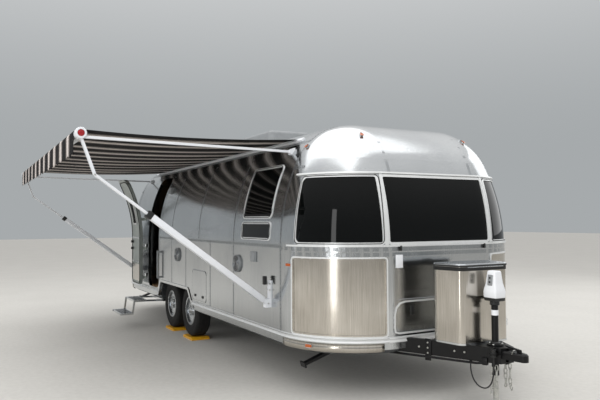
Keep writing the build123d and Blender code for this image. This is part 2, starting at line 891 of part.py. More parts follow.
# Levelling pads under the tyres, dished at the top
pad_length = 380.0
pad_width = 250.0
pad_dish = 4.0
with BuildPart() as leveling_pads:
    for name, x, side in wheel_rows:
        with BuildSketch(Plane.XZ.offset(-side * wheel_y - pad_width / 2)):
            with BuildLine():
                Polyline(
                    (x - pad_length / 2, 0),
                    (x + pad_length / 2, 0),
                    (x + pad_length / 2, 18),
                    (x + pad_length / 2 - 40, pad_thick + pad_dish),
                    (x + 60, pad_thick),
                    (x - 60, pad_thick),
                    (x - pad_length / 2 + 40, pad_thick + pad_dish),
                    (x - pad_length / 2, 18),
                    close=True,
                )
            make_face()
        extrude(amount=pad_width)
leveling_pads.part.label = "leveling_pads"
export_step(leveling_pads.part, "parts/leveling_pads.step")

# Hitch frame: two box beams that run from the belly to the coupler, and plates across them
beam_start_x = -900.0
beam_tip_x = 130.0
beam_tip_y = 46.0
beam_low_z = frame_top_z - frame_depth
beam_run = beam_tip_x - beam_start_x
beam_root_y = beam_tip_y + beam_run * sin(radians(beam_angle)) / cos(radians(beam_angle))
plate_thick = 10.0
jack_plate_half = 95.0
tray_front_x = -95.0
tray_rear_x = -445.0
tray_height = 14.0
tray_drop = 60.0


def beam_y(x):
    return beam_tip_y + (beam_tip_x - x) * (beam_root_y - beam_tip_y) / beam_run


chain_x = 60.0
chain_y = beam_y(chain_x)
gland_x = -120.0
gland_y = -163.0
gland_radius = 13.0
gland_high = 14.0
holder_x = 100.0
holder_y = -125.0
holder_z = 505.7
holder_thick = 5.0
holder_hole = 22.6
eye_half = 24.0
eye_drop = 30.0
eye_thick = 8.0
eye_hole = 10.0
eye_hole_z = beam_low_z - 13.0
belly_solid = belly_pan.part
front_lower_solid = front_end_lower.part
lateral = frame_width / 2 / cos(radians(beam_angle))
with BuildPart() as a_frame:
    for side in (-1, 1):
        with BuildSketch(Plane.XY.offset(beam_low_z)):
            with BuildLine():
                Polyline(
                    (beam_tip_x, side * (beam_tip_y - lateral)),
                    (beam_tip_x, side * (beam_tip_y + lateral)),
                    (beam_start_x, side * (beam_root_y + lateral)),
                    (beam_start_x, side * (beam_root_y - lateral)),
                    close=True,
                )
            make_face()
        extrude(amount=frame_depth)
    with BuildSketch(Plane.XY.offset(frame_top_z - plate_thick)):
        with BuildLine():
            Polyline(
                (beam_tip_x, -beam_tip_y),
                (beam_tip_x, beam_tip_y),
                (-jack_plate_half, beam_y(-jack_plate_half)),
                (-jack_plate_half, -beam_y(-jack_plate_half)),
                close=True,
            )
        make_face()
    extrude(amount=plate_thick)
    with BuildSketch(Plane.XY.offset(beam_low_z)):
        with BuildLine():
            Polyline(
                (beam_tip_x, -beam_tip_y),
                (beam_tip_x, beam_tip_y),
                (-jack_plate_half, beam_y(-jack_plate_half)),
                (-jack_plate_half, -beam_y(-jack_plate_half)),
                close=True,
            )
        make_face()
    extrude(amount=plate_thick)
    with Locations((0, 0, frame_top_z - frame_depth / 2)):
        Cylinder(jack_tube_radius + skin_gap, frame_depth * 2, mode=Mode.SUBTRACT)
    for x in (tray_front_x, tray_rear_x):
        with Locations((x, 0, frame_top_z - tray_drop / 2)):
            Box(40, 2 * beam_y(x), tray_drop)
    for side in (-1, 1):
        with BuildSketch(Plane.YZ.offset(chain_x - eye_thick / 2)):
            with Locations((side * chain_y, beam_low_z)):
                Rectangle(2 * eye_half, 2 * eye_drop)
            with Locations((side * chain_y, eye_hole_z)):
                Circle(eye_hole, mode=Mode.SUBTRACT)
        extrude(amount=eye_thick)
    with Locations((gland_x, gland_y, beam_low_z - gland_high)):
        Cylinder(gland_radius, gland_high + 2, align=(Align.CENTER, Align.CENTER, Align.MIN))
    with BuildSketch(Plane.XY.offset(holder_z)):
        with Locations((holder_x, (holder_y - beam_y(holder_x)) / 2 - 16)):
            Rectangle(64, -holder_y - beam_y(holder_x) + 30)
        with Locations((holder_x, holder_y)):
            Circle(holder_hole, mode=Mode.SUBTRACT)
    extrude(amount=-holder_thick)
    add([belly_solid, front_lower_solid, rub_rail.part], mode=Mode.SUBTRACT)
a_frame.part.label = "a_frame"
export_step(a_frame.part, "parts/a_frame.step")

# Coupler: a pressed housing between the beams' tips with a ball socket and a latch on top
socket_depth = 34.0
housing_wall = 9.0
housing_top_z = coupler_z + 58.0
latch_length = 120.0
coupler_rear_x = 72.0
with BuildPart() as coupler:
    with BuildSketch(Plane.XY.offset(coupler_z - 6)):
        with BuildLine():
            Polyline(
                (coupler_rear_x, 44),
                (beam_tip_x, 66),
                (ball_x, ball_socket_radius + housing_wall),
                (ball_x, -ball_socket_radius - housing_wall),
                (beam_tip_x, -66),
                (coupler_rear_x, -44),
                close=True,
            )
        make_face()
        with Locations((ball_x, 0)):
            Circle(ball_socket_radius + housing_wall)
    extrude(amount=housing_top_z - coupler_z + 6)
    chamfer(coupler.faces().sort_by(Axis.Z)[-1].edges(), length=12)
    with Locations((ball_x, 0, coupler_z - 6)):
        Cylinder(
            ball_socket_radius,
            socket_depth + 6,
            align=(Align.CENTER, Align.CENTER, Align.MIN),
            mode=Mode.SUBTRACT,
        )
    with BuildSketch(Plane.XZ.offset(-9)):
        with BuildLine():
            Polyline(
                (ball_x - 60, housing_top_z - 4),
                (ball_x - 20, housing_top_z - 4),
                (ball_x - 28, housing_top_z + 26),
                (ball_x - 60 - latch_length, housing_top_z + 40),
                (ball_x - 60 - latch_length, housing_top_z + 30),
                (ball_x - 66, housing_top_z + 14),
                close=True,
            )
        make_face()
    extrude(amount=18)
beam_solids = a_frame.part
coupler_body = coupler.part - beam_solids
coupler_body.label = "coupler"
export_step(coupler_body, "parts/coupler.step")

# Tongue jack: post with flange, head on top, inner leg with its foot on the ground
head_low_z = jack_top_z - jack_head_high
jack_flange = 70.0
jack_flange_thick = 12.0
jack_post_low_z = 300.0
foot_radius = 70.0
foot_thick = 12.0
with BuildPart() as jack_post:
    with BuildSketch(Plane.XY.offset(jack_post_low_z)):
        Circle(jack_tube_radius)
        Circle(jack_leg_radius + 2, mode=Mode.SUBTRACT)
    extrude(amount=head_low_z - jack_post_low_z)
    with BuildSketch(Plane.XY.offset(frame_top_z)):
        Circle(jack_flange)
        Circle(jack_leg_radius + 2, mode=Mode.SUBTRACT)
    extrude(amount=jack_flange_thick)
jack_post.part.label = "jack_post"
export_step(jack_post.part, "parts/jack_post.step")

with BuildPart() as jack_head:
    with BuildSketch(Plane.XY.offset(head_low_z)):
        RectangleRounded(150, 130, 30)
    with BuildSketch(Plane.XY.offset(jack_top_z)):
        RectangleRounded(120, 104, 24)
    loft()
jack_head.part.label = "jack_head"
export_step(jack_head.part, "parts/jack_head.step")

with BuildPart() as jack_leg:
    with BuildSketch():
        RectangleRounded(2 * foot_radius, 2 * foot_radius, 20)
    extrude(amount=foot_thick)
    with BuildSketch(Plane.XY.offset(foot_thick)):
        Circle(foot_radius * 0.55)
    extrude(amount=14)
    with BuildSketch(Plane.XY.offset(foot_thick + 14)):
        Circle(jack_leg_radius)
    extrude(amount=head_low_z - skin_gap - foot_thick - 14)
jack_leg.part.label = "jack_leg"
export_step(jack_leg.part, "parts/jack_leg.step")

# Gas bottles under a cover with a hinged lid
cover_rear_x = -430.0
cover_front_x = -105.0
cover_rear_half = 330.0
cover_front_half = 270.0
cover_corner = 60.0
cover_low_z = frame_top_z
cover_top_z = 1205.0
cover_sheet = 6.0
lid_thick = 26.0
lid_lip = 8.0
lid_barrel = 5.0


def cover_outline(grow):
    with BuildSketch() as outline:
        with BuildLine():
            Polyline(
                (cover_rear_x - grow, -cover_rear_half - grow),
                (cover_front_x + grow, -cover_front_half - grow),
                (cover_front_x + grow, cover_front_half + grow),
                (cover_rear_x - grow, cover_rear_half + grow),
                close=True,
            )
        make_face()
        fillet(outline.vertices(), radius=cover_corner + grow)
    return outline.sketch


cover_outer = cover_outline(0.0)
cover_inner = cover_outline(-cover_sheet)
lid_outer = cover_outline(lid_lip)
with BuildPart() as gas_cover:
    with BuildSketch(Plane.XY.offset(cover_low_z)):
        add(cover_outer)
        add(cover_inner, mode=Mode.SUBTRACT)
    extrude(amount=cover_top_z - cover_low_z)
gas_cover.part.label = "gas_cover"
export_step(gas_cover.part, "parts/gas_cover.step")

lid_low_z = cover_top_z + skin_gap
with BuildPart() as gas_cover_lid:
    with BuildSketch(Plane.XY.offset(lid_low_z)):
        add(lid_outer)
    extrude(amount=lid_thick)
    chamfer(gas_cover_lid.faces().sort_by(Axis.Z)[-1].edges(), length=9)
    with Locations(
        Location((cover_front_x + skin_gap + lid_barrel, 0, lid_low_z - lid_barrel + 1), (90, 0, 0))
    ):
        Cylinder(lid_barrel, 2 * (cover_front_half - cover_corner))
gas_cover_lid.part.label = "gas_cover_lid"
export_step(gas_cover_lid.part, "parts/gas_cover_lid.step")

bottle_radius = 130.0
bottle_y = 140.0
bottle_x = (cover_rear_x + cover_front_x) / 2
with BuildPart() as gas_bottles:
    for side in (-1, 1):
        plane = Plane(origin=(bottle_x, side * bottle_y, 0), x_dir=(1, 0, 0), z_dir=(0, -1, 0))
        with BuildSketch(plane):
            with BuildLine():
                Polyline(
                    (0, frame_top_z + skin_gap),
                    (100, frame_top_z + skin_gap),
                    (100, frame_top_z + 25),
                    (bottle_radius, frame_top_z + 60),
                    (bottle_radius, frame_top_z + 400),
                    (100, frame_top_z + 450),
                    (100, frame_top_z + 560),
                    (92, frame_top_z + 560),
                    (92, frame_top_z + 466),
                    (28, frame_top_z + 476),
                    (28, frame_top_z + 540),
                    (0, frame_top_z + 540),
                    close=True,
                )
            make_face()
        revolve(axis=Axis((bottle_x, side * bottle_y, 0), (0, 0, 1)))
gas_bottles.part.label = "gas_bottles"
export_step(gas_bottles.part, "parts/gas_bottles.step")

# Safety chains: links of square wire hanging from the beams, a hook on each end
link_length = 58.0
link_width = 34.0
link_wire = 8.0
link_count = 4
hook_eye = 17.0
hook_wire = 8.0
link_slack = 0.4
link_pitch = link_length - 2 * link_wire - link_slack
chain_top_z = eye_hole_z - (eye_hole**2 - (link_wire / 2) ** 2) ** 0.5 + link_slack + link_wire


def link_sketch():
    half = link_width / 2
    flat = link_length / 2 - half
    with BuildSketch() as link:
        with BuildLine():
            Polyline(
                (-half, -flat),
                (-half * 0.5, -flat - half),
                (half * 0.5, -flat - half),
                (half, -flat),
                (half, flat),
                (half * 0.5, flat + half),
                (-half * 0.5, flat + half),
                (-half, flat),
                close=True,
            )
        make_face()
        inner = half - link_wire
        with BuildLine():
            Polyline(
                (-inner, -flat),
                (-inner * 0.5, -flat - inner),
                (inner * 0.5, -flat - inner),
                (inner, -flat),
                (inner, flat),
                (inner * 0.5, flat + inner),
                (-inner * 0.5, flat + inner),
                (-inner, flat),
                close=True,
            )
        make_face(mode=Mode.SUBTRACT)
    return link.sketch


link_shape = link_sketch()
# The hook's outline below its eye, from the eye's low point
hook_points = [
    (-5, 4),
    (5, 4),
    (5, -14),
    (25, -30),
    (22, -52),
    (0, -64),
    (-22, -52),
    (-26, -36),
    (-16, -34),
    (-12, -46),
    (0, -52),
    (12, -46),
    (13, -36),
    (-5, -22),
]
with BuildPart() as safety_chains:
    for side in (-1, 1):
        for index in range(link_count):
            z = chain_top_z - link_length / 2 - index * link_pitch
            turn = (1, 0, 0) if index % 2 == 0 else (0, 1, 0)
            normal = (0, -1, 0) if index % 2 == 0 else (1, 0, 0)
            centre = Vector(chain_x, side * chain_y, z) - Vector(*normal) * (link_wire / 2)
            with BuildSketch(Plane(origin=centre, x_dir=turn, z_dir=normal)):
                add(link_shape)
            extrude(amount=link_wire)
        hook_top_z = chain_top_z - link_count * link_pitch
        with BuildSketch(Plane.XZ.offset(-side * chain_y - link_wire / 2)):
            with Locations((chain_x, hook_top_z - hook_eye)):
                Circle(hook_eye)
                Circle(hook_eye - hook_wire, mode=Mode.SUBTRACT)
            with BuildLine():
                Polyline(
                    *[(chain_x + dx, hook_top_z - 2 * hook_eye + dz) for dx, dz in hook_points], close=True
                )
            make_face()
        extrude(amount=link_wire)
safety_chains.part.label = "safety_chains"
export_step(safety_chains.part, "parts/safety_chains.step")

# Tow cable: leaves a gland under the curb-side beam, hangs in a loop and ends in its plug,
# which stands in a holder on the beam's side
cable_diameter = 12.0
cable_points = [
    (-120.0, -163.0, 405.7),
    (-120.0, -163.5, 340.0),
    (-92.0, -163.0, 268.0),
    (-38.0, -158.0, 222.0),
    (30.0, -150.0, 216.0),
    (80.0, -142.0, 255.0),
    (102.0, -134.0, 322.0),
    (103.0, -128.0, 400.0),
    (100.0, -125.0, 478.0),
]
bend_share = 0.45
route = [Vector(*point) for point in cable_points]
bend_radii = []
for before, corner, after in zip(route, route[1:], route[2:]):
    shorter = min((corner - before).length, (after - corner).length)
    turn = radians((corner - before).get_angle(after - corner))
    bend_radii.append(bend_share * shorter / (sin(turn / 2) / cos(turn / 2)))
print("cable bend radii", [round(radius) for radius in bend_radii])
with BuildPart() as tow_cable:
    with BuildLine() as cable_line:
        FilletPolyline(*cable_points, radius=bend_radii)
    with BuildSketch(Plane(origin=route[0], z_dir=route[1] - route[0])):
        Circle(cable_diameter / 2)
    sweep()
print("cable length", round(sum(edge.length for edge in cable_line.edges())))
tow_cable.part.label = "tow_cable"
export_step(tow_cable.part, "parts/tow_cable.step")

plug_radius = 22.0
plug_length = 62.0
plug_flange = 27.0
plug_gap = 0.4
plug_x, plug_y, cable_end_z = cable_points[-1]
plug_low_z = cable_end_z + plug_gap
holder_top_z = holder_z + skin_gap
with BuildPart() as tow_plug:
    with Locations((plug_x, plug_y, plug_low_z)):
        Cylinder(plug_radius, plug_length, align=(Align.CENTER, Align.CENTER, Align.MIN))
    with Locations((plug_x, plug_y, holder_top_z)):
        Cylinder(plug_flange, 10, align=(Align.CENTER, Align.CENTER, Align.MIN))
tow_plug.part.label = "tow_plug"
export_step(tow_plug.part, "parts/tow_plug.step")

# Awning: rail on the shoulder, roller, two arms, two rafters and the cloth
rail_out = 22.0
rail_high = 46.0
rail_tilt = degrees(asin((rail_z - shoulder_z) / shoulder_radius))
rail_face_radius = shoulder_radius + skin_gap + rail_out
cloth_root_y = -shoulder_y - (rail_face_radius + skin_gap) * cos(radians(rail_tilt))
cloth_root_z = shoulder_z + (rail_face_radius + skin_gap) * sin(radians(rail_tilt))
cloth_sag = 55.0
cloth_end_gap = 40.0
valance_drop = 190.0
arm_width = 64.0
arm_depth = 30.0
tube_width = 42.0
tube_depth = 22.0
arm_base_y = -half_width - 34.0
arm_base_z = 800.0
elbow_y = -2960.0
elbow_z = 2010.0
collar_share = 0.70
rafter_root_z = 2300.0
rafter_root_y = -half_width + lean_in(rafter_root_z) - 24.0


def bar(start, end, width, depth):
    # A straight bar between two points of one upright plane across the caravan
    a = Vector(*start)
    b = Vector(*end)
    with BuildPart() as made:
        with BuildSketch(Plane(origin=a, x_dir=(1, 0, 0), z_dir=b - a)):
            Rectangle(width, depth)
        extrude(amount=(b - a).length)
    return made.part


with BuildPart() as awning_rail:
    with BuildSketch(Plane(origin=(awning_rear_x, 0, 0), x_dir=(0, 1, 0), z_dir=(1, 0, 0))):
        with Locations(
            Location(
                (
                    -shoulder_y - (shoulder_radius + skin_gap + rail_out / 2) * cos(radians(rail_tilt)),
                    shoulder_z + (shoulder_radius + skin_gap + rail_out / 2) * sin(radians(rail_tilt)),
                ),
                -rail_tilt,
            )
        ):
            Rectangle(rail_out, rail_high)
        with BuildLine():
            CenterArc((-shoulder_y, shoulder_z), shoulder_radius + skin_gap, 90, 90)
            Line((-shoulder_y - shoulder_radius - skin_gap, shoulder_z), (-shoulder_y, shoulder_z))
            Line((-shoulder_y, shoulder_z), (-shoulder_y, shoulder_z + shoulder_radius + skin_gap))
        make_face(mode=Mode.SUBTRACT)
    extrude(amount=awning_front_x - awning_rear_x)
awning_rail.part.label = "awning_rail"
export_step(awning_rail.part, "parts/awning_rail.step")

with BuildPart() as awning_roller:
    with Locations(Location(((awning_front_x + awning_rear_x) / 2, roller_y, roller_z), (0, 90, 0))):
        Cylinder(roller_radius, awning_front_x - awning_rear_x - 2 * arm_width)
awning_roller.part.label = "awning_roller"
export_step(awning_roller.part, "parts/awning_roller.step")

cloth_front_x = awning_front_x - arm_width - cloth_end_gap
cloth_rear_x = awning_rear_x + arm_width + cloth_end_gap
wrap_from = 82.0
wrap_inner = roller_radius + skin_gap
wrap_outer = wrap_inner + cloth_thick
wrap_cos = cos(radians(wrap_from))
wrap_sin = sin(radians(wrap_from))
cloth_tip = (roller_y + wrap_inner * wrap_cos, roller_z + wrap_inner * wrap_sin)
cloth_tip_top = (roller_y + wrap_outer * wrap_cos, roller_z + wrap_outer * wrap_sin)
cloth_mid = ((cloth_root_y + cloth_tip[0]) / 2, (cloth_root_z + cloth_tip[1]) / 2 - cloth_sag)
with BuildPart() as awning_cloth:
    with BuildSketch(Plane.YZ.offset(cloth_rear_x)):
        with BuildLine():
            ThreePointArc((cloth_root_y, cloth_root_z), cloth_mid, cloth_tip)
            Line(cloth_tip, cloth_tip_top)
            ThreePointArc(
                cloth_tip_top,
                (cloth_mid[0], cloth_mid[1] + cloth_thick),
                (cloth_root_y, cloth_root_z + cloth_thick),
            )
            Line((cloth_root_y, cloth_root_z + cloth_thick), (cloth_root_y, cloth_root_z))
        make_face()
        with BuildLine():
            CenterArc((roller_y, roller_z), wrap_inner, wrap_from, 180 - wrap_from)
            Line((roller_y - wrap_inner, roller_z), (roller_y - wrap_inner, roller_z - valance_drop))
            Line(
                (roller_y - wrap_inner, roller_z - valance_drop),
                (roller_y - wrap_outer, roller_z - valance_drop),
            )
            Line((roller_y - wrap_outer, roller_z - valance_drop), (roller_y - wrap_outer, roller_z))
            CenterArc((roller_y, roller_z), wrap_outer, 180, wrap_from - 180)
            Line(cloth_tip_top, cloth_tip)
        make_face()
    extrude(amount=cloth_front_x - cloth_rear_x)
awning_cloth.part.label = "awning_cloth"
export_step(awning_cloth.part, "parts/awning_cloth.step")

# Each arm: foot bracket on the wall, channel, inner tube, elbow and the roller's end bracket
for name, x, side in (
    ("front_awning_arm", awning_front_x - arm_width / 2, 1),
    ("rear_awning_arm", awning_rear_x + arm_width / 2, -1),
):
    base = (x, arm_base_y, arm_base_z)
    elbow = (x, elbow_y, elbow_z)
    collar = (
        x,
        arm_base_y + (elbow_y - arm_base_y) * collar_share,
        arm_base_z + (elbow_z - arm_base_z) * collar_share,
    )
    tip = (x, roller_y, roller_z - roller_radius / 2)
    channel = bar(base, collar, arm_width, arm_depth)
    tube = bar(base, elbow, tube_width, tube_depth)
    post = bar(elbow, tip, tube_width, tube_depth)
    rafter = bar((x, rafter_root_y, rafter_root_z), (x, roller_y + 30, roller_z - 30), 34.0, 22.0)
    with BuildPart() as arm:
        with BuildSketch(Plane.YZ.offset(x - arm_width / 2)):
            with BuildLine():
                Polyline(
                    (-half_width - skin_gap, arm_base_z - 40),
                    (-half_width - skin_gap, arm_base_z + 220),
                    (-half_width - 14, arm_base_z + 220),
                    (-half_width - 14, arm_base_z + 46),
                    (arm_base_y - 26, arm_base_z + 36),
                    (arm_base_y - 26, arm_base_z - 40),
                    close=True,
                )
            make_face()
        extrude(amount=arm_width)
        add([channel, tube, post, rafter])
        with Locations(Location((x, roller_y, roller_z), (0, 90, 0))):
            Cylinder(roller_radius + 4, arm_width - 1)
        with BuildSketch(Plane.YZ.offset(x - arm_width / 2)):
            with BuildLine():
                Polyline(
                    (rafter_root_y + 40, rafter_root_z - 30),
                    (rafter_root_y + 40, rafter_root_z + 40),
                    (rafter_root_y - 10, rafter_root_z + 20),
                    (rafter_root_y - 10, rafter_root_z - 30),
                    close=True,
                )
            make_face()
        extrude(amount=arm_width)
    arm_part = arm.part - arch_skin
    arm_part.label = name
    export_step(arm_part, "parts/" + name + ".step")

# Roof: air conditioner and two vent lids
unit_behind = 3500.0
unit_length = 1050.0
unit_width = 720.0
unit_height = 270.0
with BuildPart() as air_conditioner:
    with BuildSketch(Plane.XY.offset(roof_z)):
        with Locations((behind(unit_behind), 0)):
            RectangleRounded(unit_length, unit_width, 120)
    extrude(amount=unit_height, taper=10)
    fillet(air_conditioner.faces().sort_by(Axis.Z)[-1].edges(), radius=50)
air_conditioner.part.label = "air_conditioner"
export_step(air_conditioner.part, "parts/air_conditioner.step")

vent_rows = [(1750.0, 420.0), (5900.0, 420.0)]
vent_height = 85.0
with BuildPart() as roof_vents:
    for start, size in vent_rows:
        with BuildSketch(Plane.XY.offset(roof_z)):
            with Locations((behind(start), 0)):
                RectangleRounded(size, size, 40)
        extrude(amount=vent_height, taper=20)
roof_vents.part.label = "roof_vents"
export_step(roof_vents.part, "parts/roof_vents.step")

# Lamps on the skin. Front corner lamps: angle from the nose, height, width, tall
lamp_depth = 20.0
front_lamp_rows = [
    (80.0, 1195.0, 60.0, 26.0),
    (62.0, 480.0, 60.0, 26.0),
    (87.0, 2330.0, 54.0, 24.0),
    (18.0, 2420.0, 54.0, 24.0),
]
tail_lamp_rows = [(62.0, 1120.0, 110.0, 150.0), (62.0, 870.0, 110.0, 60.0)]
lamp_front_skin = front_skin(-lamp_depth, lamp_depth - skin_gap)
lamp_rear_skin = rear_skin(-lamp_depth, lamp_depth - skin_gap)


def lamp_blocks(rows, front):
    made = []
    for angle, z, wide, tall in rows:
        spread = degrees(wide / 2 / corner_radius)
        for side in (-1, 1):
            if front:
                start = side * angle
                x = front_axis_x
            else:
                start = 180 - side * angle
                x = rear_axis_x
            made.append(
                corner_cutter(
                    x, side * shoulder_y, start - spread, start + spread, z - tall / 2, z + tall / 2, 0
                )
            )
    return made


with BuildPart() as marker_lights:
    for cut in lamp_blocks(front_lamp_rows, True):
        add(lamp_front_skin & cut)
marker_lights.part.label = "marker_lights"
export_step(marker_lights.part, "parts/marker_lights.step")

with BuildPart() as tail_lights:
    for cut in lamp_blocks(tail_lamp_rows, False):
        add(lamp_rear_skin & cut)
tail_lights.part.label = "tail_lights"
export_step(tail_lights.part, "parts/tail_lights.step")

# Fittings on the curb side: two speakers, an outlet cover, the porch lamp and a grab handle
speaker_rows = [(1850.0, 1140.0), (4000.0, 1140.0)]
speaker_radius = 95.0
with BuildPart() as side_fittings:
    for start, z in speaker_rows:
        with Locations(Location((behind(start), -half_width + lean_in(z + speaker_radius), z), (90, 0, 0))):
            Cylinder(speaker_radius, 22, align=(Align.CENTER, Align.CENTER, Align.MIN))
    with Locations((behind(1420), -half_width + lean_in(1290) - 8, 1235)):
        Box(115, 16, 105)
    with Locations((behind(4720), -half_width + lean_in(2110) - 20, 2070)):
        Box(110, 60, 90)
    with Locations((behind(4880), -half_width - 42, 950)):
        Cylinder(13, 420)
    for z in (760, 1140):
        with Locations((behind(4880), -half_width - 20, z)):
            Box(26, 52, 26)
fittings_part = side_fittings.part - arch_skin
fittings_part.label = "side_fittings"
export_step(fittings_part, "parts/side_fittings.step")

# Street side: service covers let into nothing but the skin, as flat plates
with BuildPart() as service_covers:
    for start, long, z, tall in (
        (2050.0, 520.0, 800.0, 420.0),
        (4300.0, 460.0, 980.0, 260.0),
        (5450.0, 400.0, 820.0, 380.0),
    ):
        with Locations((behind(start + long / 2), half_width + skin_gap + 5, z)):
            Box(long, 10, tall)
service_covers.part.label = "service_covers"
export_step(service_covers.part, "parts/service_covers.step")

# Rear bumper: a formed beam across, on two arms from the underbelly
bumper_out = 150.0
bumper_half = 1050.0
bumper_low_z = 430.0
bumper_high = 110.0
bumper_arm_y = 500.0
bumper_arm_reach = 150.0
bumper_arm_low_z = 412.0
bumper_arm_high = 38.0
with BuildPart() as rear_bumper:
    with BuildSketch(Plane.XY.offset(bumper_low_z)):
        with BuildLine():
            Polyline(
                (shell_rear_x - bumper_out, -bumper_half + 200),
                (shell_rear_x - bumper_out, bumper_half - 200),
                (shell_rear_x - bumper_out + 90, bumper_half),
                (shell_rear_x - bumper_out + 190, bumper_half),
                (shell_rear_x - bumper_out + 90, bumper_half - 230),
                (shell_rear_x - bumper_out + 90, -bumper_half + 230),
                (shell_rear_x - bumper_out + 190, -bumper_half),
                (shell_rear_x - bumper_out + 90, -bumper_half),
                close=True,
            )
        make_face()
    extrude(amount=bumper_high)
    for side in (-1, 1):
        with Locations((shell_rear_x - bumper_out + 90, side * bumper_arm_y, bumper_arm_low_z)):
            Box(bumper_arm_reach, 70, bumper_arm_high, align=(Align.MIN, Align.CENTER, Align.MIN))
bumper_part = rear_bumper.part - belly_solid
bumper_part.label = "rear_bumper"
export_step(bumper_part, "parts/rear_bumper.step")

# Double entry step, pulled out below the doorway
step_x = (door_front_x + door_rear_x) / 2
step_width = 560.0
tread_depth = 190.0
tread_thick = 26.0
tread_rows = [(-1560.0, 400.0), (-1760.0, 215.0)]
step_bar = 26.0
step_root = (-1180.0, belly_z - 16.0)
with BuildPart() as entry_step:
    with Locations((step_x, step_root[0], belly_z - skin_gap - 16)):
        Box(step_width, 60, 32)
    for y, z in tread_rows:
        with Locations((step_x, y, z)):
            Box(step_width - 2 * step_bar, tread_depth, tread_thick)
    for side in (-1, 1):
        x = step_x + side * (step_width / 2 - step_bar / 2)
        joints = [
            (x, step_root[0], step_root[1]),
            (x, tread_rows[0][0] + 80, tread_rows[0][1]),
            (x, tread_rows[0][0] - tread_depth / 2, tread_rows[0][1]),
            (x, tread_rows[1][0] + 80, tread_rows[1][1]),
            (x, tread_rows[1][0] - tread_depth / 2, tread_rows[1][1]),
        ]
        for start, end in zip(joints, joints[1:]):
            a = Vector(*start)
            b = Vector(*end)
            with BuildSketch(Plane(origin=a - (b - a).normalized() * 10, x_dir=(1, 0, 0), z_dir=b - a)):
                Rectangle(step_bar, step_bar)
            extrude(amount=(b - a).length + 20)
step_part = entry_step.part - belly_solid
step_part.label = "entry_step"
export_step(step_part, "parts/entry_step.step")

# Stabiliser legs, part lowered: each swings about a pin across the caravan's length
leg_rows = [
    ("stabiliser_front_left", 640.0, 1),
    ("stabiliser_front_right", 640.0, -1),
    ("stabiliser_rear_left", 6650.0, 1),
    ("stabiliser_rear_right", 6650.0, -1),
]
leg_pin_y = 800.0
leg_pin_z = belly_z - 34.0
leg_length = 355.0
leg_width = 60.0
leg_depth = 34.0
leg_pin_radius = 8.0
leg_angle = 18.0
leg_foot = 54.0
ear_thick = 6.0
ear_gap = 2.0
with BuildPart() as stabiliser_brackets:
    for name, start, side in leg_rows:
        x = behind(start)
        with Locations((x, side * leg_pin_y, belly_z - skin_gap - 3)):
            Box(leg_width + 2 * ear_gap + 2 * ear_thick, 120, 6)
        for end in (-1, 1):
            ear_x = x + end * (leg_width / 2 + ear_gap + ear_thick / 2)
            with Locations((ear_x, side * leg_pin_y, (belly_z + leg_pin_z - 18) / 2 - skin_gap)):
                Box(ear_thick, 70, belly_z - leg_pin_z + 18)
        with Locations(Location((x, side * leg_pin_y, leg_pin_z), (0, 90, 0))):
            Cylinder(leg_pin_radius, leg_width + 2 * ear_gap + 2 * ear_thick)
stabiliser_brackets.part.label = "stabiliser_brackets"
export_step(stabiliser_brackets.part, "parts/stabiliser_brackets.step")

for name, start, side in leg_rows:
    x = behind(start)
    pin = (x, side * leg_pin_y, leg_pin_z)
    with BuildPart() as leg:
        with BuildSketch(Plane.YZ.offset(x - leg_width / 2)):
            with BuildLine():
                Polyline(
                    (side * (leg_pin_y - 18), leg_pin_z - 16),
                    (side * (leg_pin_y - 18), leg_pin_z + 16),
                    (side * (leg_pin_y + leg_length), leg_pin_z + 12),
                    (side * (leg_pin_y + leg_length), leg_pin_z - 12),
                    close=True,
                )
            make_face()
        extrude(amount=leg_width)
        with Locations((x, side * (leg_pin_y + leg_length), leg_pin_z)):
            Box(90, 14, leg_foot)
        with Locations(Location(pin, (0, 90, 0))):
            Cylinder(leg_pin_radius + shaft_gap, leg_width, mode=Mode.SUBTRACT)
    turned = leg.part.rotate(Axis(pin, (1, 0, 0)), -side * leg_angle)
    turned.label = name
    export_step(turned, "parts/" + name + ".step")
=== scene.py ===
import math

import bmesh
import bpy
from mathutils import Matrix, Vector


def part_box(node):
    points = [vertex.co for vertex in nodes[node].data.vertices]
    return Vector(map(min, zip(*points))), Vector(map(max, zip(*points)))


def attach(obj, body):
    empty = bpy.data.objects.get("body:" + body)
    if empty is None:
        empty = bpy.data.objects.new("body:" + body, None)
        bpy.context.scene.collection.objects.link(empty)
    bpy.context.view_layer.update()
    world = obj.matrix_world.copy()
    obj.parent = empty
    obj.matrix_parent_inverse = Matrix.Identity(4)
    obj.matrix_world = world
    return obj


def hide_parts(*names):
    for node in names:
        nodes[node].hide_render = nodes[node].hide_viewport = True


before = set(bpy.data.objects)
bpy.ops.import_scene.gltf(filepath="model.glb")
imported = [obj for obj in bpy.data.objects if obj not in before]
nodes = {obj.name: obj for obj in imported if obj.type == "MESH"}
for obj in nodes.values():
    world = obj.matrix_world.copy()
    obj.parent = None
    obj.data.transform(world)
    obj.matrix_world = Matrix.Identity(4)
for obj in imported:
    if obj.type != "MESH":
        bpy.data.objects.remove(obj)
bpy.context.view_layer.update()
mm = 0.001
xWay, yWay, zWay = Vector((1, 0, 0)), Vector((0, 1, 0)), Vector((0, 0, 1))

